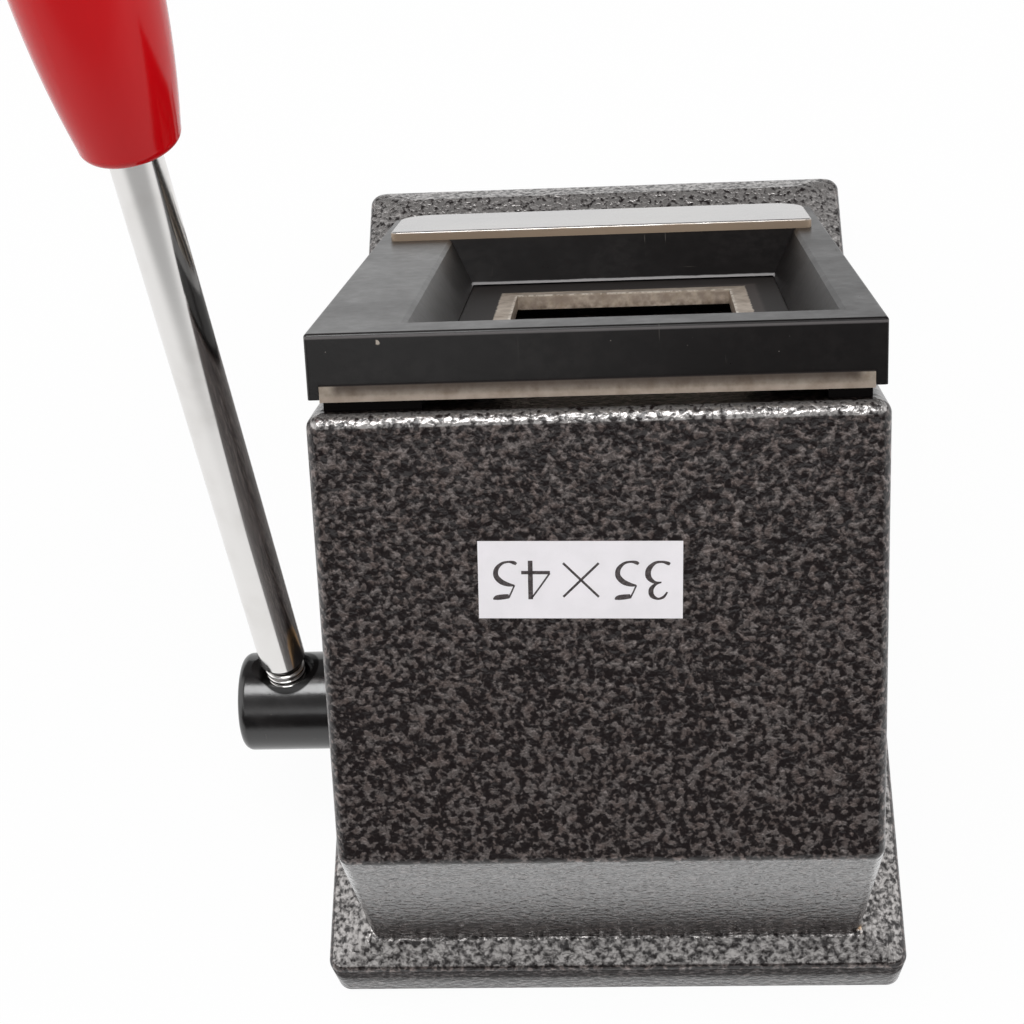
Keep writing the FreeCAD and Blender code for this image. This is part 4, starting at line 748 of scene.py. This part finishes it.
class CUTTER_PG_paint(bpy.types.PropertyGroup):
    """Hammertone enamel of the casting."""
    pool_scale: number("Pool scale", "Paint pools per metre, roughly", 1060.0, min=50.0)
    pool_warp: length("Pool warp", "How far the pools are pulled out of shape", 0.0007)
    vein_edge: share("Vein edge", "Level of the pattern where veins begin", 0.580)
    vein_softness: share("Vein softness", "Half width of the step from pool to vein", 0.13)
    # Painted light: spreads the pale veins on faces that lie flat.
    top_light_gain: number("Flat gain", "How much the veins spread where the surface lies flat", 0.096)
    # Painted shade: how far the pale veins give way on the rear wall.
    rear_shade_calm: share("Rear calm", "How much the pattern calms on the rear wall", 0.55)
    pool_coat: share("Pool coat", "Weight of the clear coat over the pools", 0.26)
    vein_coat: share("Vein coat", "Weight of the clear coat over the veins", 0.6)
    flake_roughness: share("Flake roughness", "Roughness of the flake in the veins", 0.28)
    flake_metal: share("Flake metal", "How metallic the flake in the veins is", 0.85)
    pool_colour: tint("Pool colour", "Dark pools of the enamel", (0.0075, 0.0040, 0.0042))
    vein_colour: tint("Vein colour", "Flake in the veins", (0.25, 0.216, 0.206))
    vein_warm_colour: tint("Warm vein colour", "Flake where the enamel is thin", (0.215, 0.168, 0.154))


class CUTTER_PG_head(bpy.types.PropertyGroup):
    """Black frame, die plate and trim strip."""
    black_colour: tint("Black", "Satin black finish", (0.0076, 0.0066, 0.0066))
    black_worn_colour: tint("Worn black", "Satin black where it is handled", (0.0130, 0.0114, 0.0112))
    black_roughness: share("Black roughness", "Roughness of the satin finish", 0.33)
    die_colour: tint("Die colour", "Bare ground steel", (0.60, 0.52, 0.44))
    die_stain_colour: tint("Die stain", "Stain on the bare steel", (0.33, 0.26, 0.20))
    bare_rim: length("Bare rim", "Bare metal round the die window", 0.0027)
    strip_colour: tint("Strip colour", "Polished face of the trim strip", (0.52, 0.508, 0.50))
    strip_edge_colour: tint("Strip edge colour", "Sheared edge of the trim strip", (0.34, 0.26, 0.19))


class CUTTER_PG_lever(bpy.types.PropertyGroup):
    """Rod, grip and shaft."""
    grip_colour: tint("Grip colour", "Red of the grip", (0.65, 0.003, 0.007))
    grip_deep_colour: tint("Grip deep colour", "Red of the grip in its thicker flow", (0.57, 0.002, 0.005))
    thread_pitch: length("Thread pitch", "Pitch of the rod's thread", 0.001)
    thread_ridge: length("Thread ridge", "Half width of the thread's ridge", 0.00036)
    thread_turns: number("Thread turns", "Turns of the thread that show", 3.2, min=1.0)


class CUTTER_PG_label(bpy.types.PropertyGroup):
    """Size label on the sloping rear face."""
    paper_colour: tint("Paper colour", "Paper of the label", (0.888, 0.858, 0.888))
    ink_colour: tint("Ink colour", "Print of the numerals", (0.035, 0.026, 0.028))
    print_thickness: number("Print thickness", "Height of the print in millimetres", 0.02, min=0.001)
    label_offset: length("Label offset", "Sideways place of the label", 0.0028)
    label_drop: length("Label drop", "Top edge to the label's middle", 0.024)
    label_tilt: number("Label tilt", "How far askew the label sits", math.radians(1.3), subtype="ANGLE")


class CUTTER_PG_studio(bpy.types.PropertyGroup):
    """Camera, lamps and floor."""
    lens: number("Lens", "Focal length in millimetres", 67.087, min=10.0)
    camera_place: vector("Camera place", "Where the camera stands", (-0.00496, 0.161568, 0.319022),
                         subtype="TRANSLATION", unit="LENGTH")
    camera_right: vector("Camera right", "Direction to the picture's right",
                         (-0.99763629, -0.00953314, -0.06805107), subtype="DIRECTION")
    camera_up: vector("Camera up", "Direction to the picture's top",
                      (-0.02404438, -0.87929413, 0.47567186), subtype="DIRECTION")
    softbox_power: number("Softbox power", "Power of the overhead softbox", 6.4, unit="POWER", min=0.0)
    softbox_size: length("Softbox size", "Width of the overhead softbox", 0.46)
    wall_light: number("Wall light", "Level of the light tent's sides", 1.40, min=0.0)
    roof_light: number("Roof light", "Level of the light tent's roof", 0.32, min=0.0)
    opening_light: number("Opening light", "Level of the room seen through the tent's open side", 0.08, min=0.0)
    opening_low: number("Opening low", "Level of that room near the table", 0.05, min=0.0)
    horizon_light: number("Horizon light", "Level of the table's far end, seen through the open side", 0.5,
                          min=0.0)
    floor_glow: share("Floor glow", "Share of the floor that shows its plain white", 0.96)


class CUTTER_PG_settings(bpy.types.PropertyGroup):
    """All settings of the cutter's looks."""
    paint: bpy.props.PointerProperty(type=CUTTER_PG_paint)
    head: bpy.props.PointerProperty(type=CUTTER_PG_head)
    lever: bpy.props.PointerProperty(type=CUTTER_PG_lever)
    label: bpy.props.PointerProperty(type=CUTTER_PG_label)
    studio: bpy.props.PointerProperty(type=CUTTER_PG_studio)


# --- studio ---------------------------------------------------------------------------------------

def make_floor(settings):
    """A plain white table that keeps the object's shadow and still reads as white."""
    work = bmesh.new()
    bmesh.ops.create_grid(work, x_segments=1, y_segments=1, size=1.0)
    bmesh.ops.transform(work, matrix=Matrix.Diagonal((*TABLE_HALF, 1.0, 1.0)), verts=work.verts)
    bmesh.ops.translate(work, vec=TABLE_MIDDLE, verts=work.verts)
    mesh = bpy.data.meshes.new("floor")
    work.to_mesh(mesh)
    work.free()
    floor = put("floor", mesh)
    material = bpy.data.materials.new("plain_floor")
    material.use_nodes = True
    material.node_tree.nodes.clear()
    graph = Graph(material.node_tree)
    paint = graph.node("ShaderNodeBsdfDiffuse", {"Color": (0.86, 0.86, 0.86, 1.0)})

    # Rays that light the object meet paint. All others meet a glow, which falls off at the far end.
    seen = graph.ray("Is Camera Ray")
    fall = graph.ramp(graph.parts(graph.coordinates("Object"))["Y"], 0.18, 0.85, 1.0, settings.horizon_light)
    glow = graph.node("ShaderNodeEmission", {"Color": graph.larger(fall, seen)})
    for kind in ("Is Glossy Ray", "Is Transmission Ray"):
        seen = graph.larger(seen, graph.ray(kind))
    both = graph.node("ShaderNodeMixShader", {
        0: graph.times(seen, settings.floor_glow), 1: paint.outputs[0], 2: glow.outputs[0]})
    graph.node("ShaderNodeOutputMaterial", {"Surface": both.outputs[0]})
    mesh.materials.append(material)


def make_softbox(name, settings):
    """A softbox that hangs level over the object, half as long again as it is wide."""
    lamp = bpy.data.lights.new(name, "AREA")
    lamp.shape = "ELLIPSE"
    lamp.size, lamp.size_y = settings.softbox_size * 1.5, settings.softbox_size
    lamp.energy = settings.softbox_power
    put(name, lamp).matrix_world = Matrix.Translation(SOFTBOX_PLACE)


def make_room(scene, settings):
    """A light tent: bright sides, a softer roof, and one open side to a darker room."""
    world = bpy.data.worlds.new("room")
    world.use_nodes = True
    world.node_tree.nodes.clear()
    scene.world = world
    graph = Graph(world.node_tree)
    way = graph.parts(graph.coordinates("Generated"))
    ahead, up = way["Y"], way["Z"]
    tent = graph.ramp(up, 0.60, 0.85, settings.wall_light, settings.roof_light)
    tent = graph.times(tent, graph.ramp(ahead, -0.36, -0.62, 1.0, 0.15))
    opening = graph.times(graph.ramp(ahead, 0.25, 0.60), graph.ramp(up, 0.60, 0.53))
    table_end = graph.ramp(up, 0.0, 0.06, settings.horizon_light, 0.0)
    beyond = graph.ramp(up, 0.12, 0.42, settings.opening_low, settings.opening_light)
    level = graph.blend(opening, tent, graph.larger(table_end, beyond))
    light = graph.node("ShaderNodeBackground", {
        "Color": (1.0, 1.0, 1.0, 1.0), "Strength": graph.blend(graph.ray("Is Camera Ray"), level, 1.0)})
    graph.node("ShaderNodeOutputWorld", {"Surface": light.outputs[0]})


def make_camera(scene, settings):
    lens = bpy.data.cameras.new("camera")
    lens.lens = settings.lens
    lens.sensor_width = SENSOR_WIDTH_MM
    lens.clip_start, lens.clip_end = 0.01, 50.0
    camera = put("camera", lens)
    right = Vector(settings.camera_right).normalized()
    up = Vector(settings.camera_up).normalized()
    back = right.cross(up).normalized()
    up = back.cross(right)
    turn = Matrix((right, up, back)).transposed().to_4x4()
    camera.matrix_world = Matrix.Translation(settings.camera_place) @ turn
    scene.camera = camera


# --- operators ------------------------------------------------------------------------------------

class CUTTER_OT_casting(bpy.types.Operator):
    """Dress the painted casting, the bottom cover and the rubber sheet"""
    bl_idname = "cutter.casting"
    bl_label = "Casting"

    def execute(self, context):
        settings = context.scene.cutter
        smooth_copy("body_casting", "painted_casting", hammertone_paint(settings.paint))
        dress(["bottom_cover"], satin_black("cover_black", settings.head))
        dress(["rubber_base_sheet"], black_rubber())
        return {"FINISHED"}


class CUTTER_OT_head(bpy.types.Operator):
    """Dress the black frame, the die plate, the rails and the trim strip"""
    bl_idname = "cutter.head"
    bl_label = "Head"

    def execute(self, context):
        settings = context.scene.cutter.head
        frame_finish = satin_black("frame_black", settings, frame_wear_and_highlights)
        smooth_copy("funnel_frame", "black_frame", frame_finish, 25.0)
        smooth_copy("die_plate", "ground_die", die_steel(settings), 25.0)
        smooth_copy("trim_strip", "bright_strip", polished_strip(settings), 35.0)
        # The rails are blackened steel, kept near black as painted shade so the slot under the die plate reads
        # dark.
        slot_shade_rails = bare_metal("blackened_rails_slot_shade", (0.011, 0.010, 0.010), (0.007, 0.006, 0.006),
                           roughness=0.50, lines=2200.0)
        dress(["guide_rail_wide", "guide_rail_narrow", "card_stop_bar"], slot_shade_rails)
        return {"FINISHED"}


class CUTTER_OT_lever(bpy.types.Operator):
    """Dress the shaft, rod and grip, and wind the rod's thread"""
    bl_idname = "cutter.lever"
    bl_label = "Lever"

    def execute(self, context):
        settings = context.scene.cutter
        shaft_finish = satin_black("shaft_black", settings.head, shaft_sink_shade, roughness=-0.12, level=0.80)
        shaft = smooth_copy("lever_shaft", "black_shaft", shaft_finish)
        round_off(shaft, ROD_FOOT, SHAFT_AXIS, SHAFT_RADIUS)
        chrome = chrome_plate()
        smooth_copy("lever_rod", "chrome_rod", chrome)
        smooth_copy("lever_grip", "red_grip", glossy_red(settings.lever), 40.0)
        sizes = {"Radius": THREAD_RADIUS, "Pitch": settings.lever.thread_pitch,
                 "Turns": settings.lever.thread_turns, "Ridge": settings.lever.thread_ridge}
        foot = rod_matrix() @ Matrix.Translation((0.0, 0.0, THREAD_START))
        thread = wind_thread("rod_thread", thread_tree(), sizes, chrome, foot)
        new_piece("rod_thread", thread, "lever")
        return {"FINISHED"}


class CUTTER_OT_label(bpy.types.Operator):
    """Print the plain size numerals on the label"""
    bl_idname = "cutter.label"
    bl_label = "Size label"

    def execute(self, context):
        settings = context.scene.cutter.label
        dress(["size_label"], label_paper(settings))
        numerals = numerals_mesh("label_numerals", label_matrix(settings), settings.print_thickness,
                                 label_ink(settings))
        new_piece("label_numerals", numerals, "block")
        return {"FINISHED"}


class CUTTER_OT_inside(bpy.types.Operator):
    """Dress the bushes, cam, ram, punch, pins, springs and screws"""
    bl_idname = "cutter.inside"
    bl_label = "Mechanism"

    def execute(self, context):
        dress(["shaft_bush_lever_side", "shaft_bush_far_side"], sintered_bronze())
        ground = bare_metal("ground_tool_steel", (0.56, 0.54, 0.51), (0.38, 0.35, 0.31),
                            roughness=0.30, lines=2600.0)
        dress(["punch", "thrust_pad", "ram_block", "guide_pins", "die_dowels"], ground)
        turned = bare_metal("turned_steel", (0.47, 0.46, 0.44), (0.32, 0.30, 0.27),
                            roughness=0.34, lines=3000.0, line_axis=1)
        dress(["lift_cam", "stop_collar"], turned)
        dark = bare_metal("blackened_steel", (0.075, 0.070, 0.068), (0.045, 0.038, 0.034),
                          roughness=0.40, lines=1800.0)
        dress(["cover_screws", "die_plate_screws", "frame_screws", "punch_screws", "cam_set_screw",
               "stop_screw"], dark)
        spring = bare_metal("oiled_spring_steel", (0.34, 0.34, 0.35), (0.20, 0.19, 0.18),
                            roughness=0.30, lines=1600.0, line_axis=2)
        dress(["guide_pin_clips", "shaft_retaining_ring"], spring)
        for place in ("lower", "upper"):
            coil = smooth_copy("return_spring_" + place, place + "_spring", spring, 50.0)
            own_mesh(coil)
        return {"FINISHED"}


class CUTTER_OT_stage(bpy.types.Operator):
    """Build the floor, the lamp, the room's light and the camera"""
    bl_idname = "cutter.stage"
    bl_label = "Studio"

    def execute(self, context):
        settings = context.scene.cutter.studio
        make_floor(settings)
        make_softbox("overhead_softbox", settings)
        make_room(context.scene, settings)
        make_camera(context.scene, settings)
        context.scene.view_settings.view_transform = "Standard"
        return {"FINISHED"}


class CUTTER_PT_panel(bpy.types.Panel):
    """Settings and steps of the card cutter's looks"""
    bl_label = "Card cutter"
    bl_idname = "CUTTER_PT_panel"
    bl_space_type = "VIEW_3D"
    bl_region_type = "UI"
    bl_category = "Card cutter"

    def draw(self, context):
        settings = context.scene.cutter
        for name in ("paint", "head", "lever", "label", "studio"):
            box = self.layout.box()
            box.label(text=name.capitalize())
            group = getattr(settings, name)
            for key in group.__annotations__:
                box.prop(group, key)
        for step in STEPS:
            self.layout.operator(step.bl_idname)


GROUPS = (CUTTER_PG_paint, CUTTER_PG_head, CUTTER_PG_lever, CUTTER_PG_label, CUTTER_PG_studio, CUTTER_PG_settings)
STEPS = (CUTTER_OT_casting, CUTTER_OT_head, CUTTER_OT_lever, CUTTER_OT_label, CUTTER_OT_inside, CUTTER_OT_stage)


def register():
    for item in (*GROUPS, *STEPS, CUTTER_PT_panel):
        bpy.utils.register_class(item)
    bpy.types.Scene.cutter = bpy.props.PointerProperty(type=CUTTER_PG_settings)


def unregister():
    del bpy.types.Scene.cutter
    for item in reversed((*GROUPS, *STEPS, CUTTER_PT_panel)):
        bpy.utils.unregister_class(item)


def main():
    register()
    bpy.ops.cutter.casting()
    bpy.ops.cutter.head()
    bpy.ops.cutter.lever()
    bpy.ops.cutter.label()
    bpy.ops.cutter.inside()
    bpy.ops.cutter.stage()


if __name__ == "__main__":
    main()
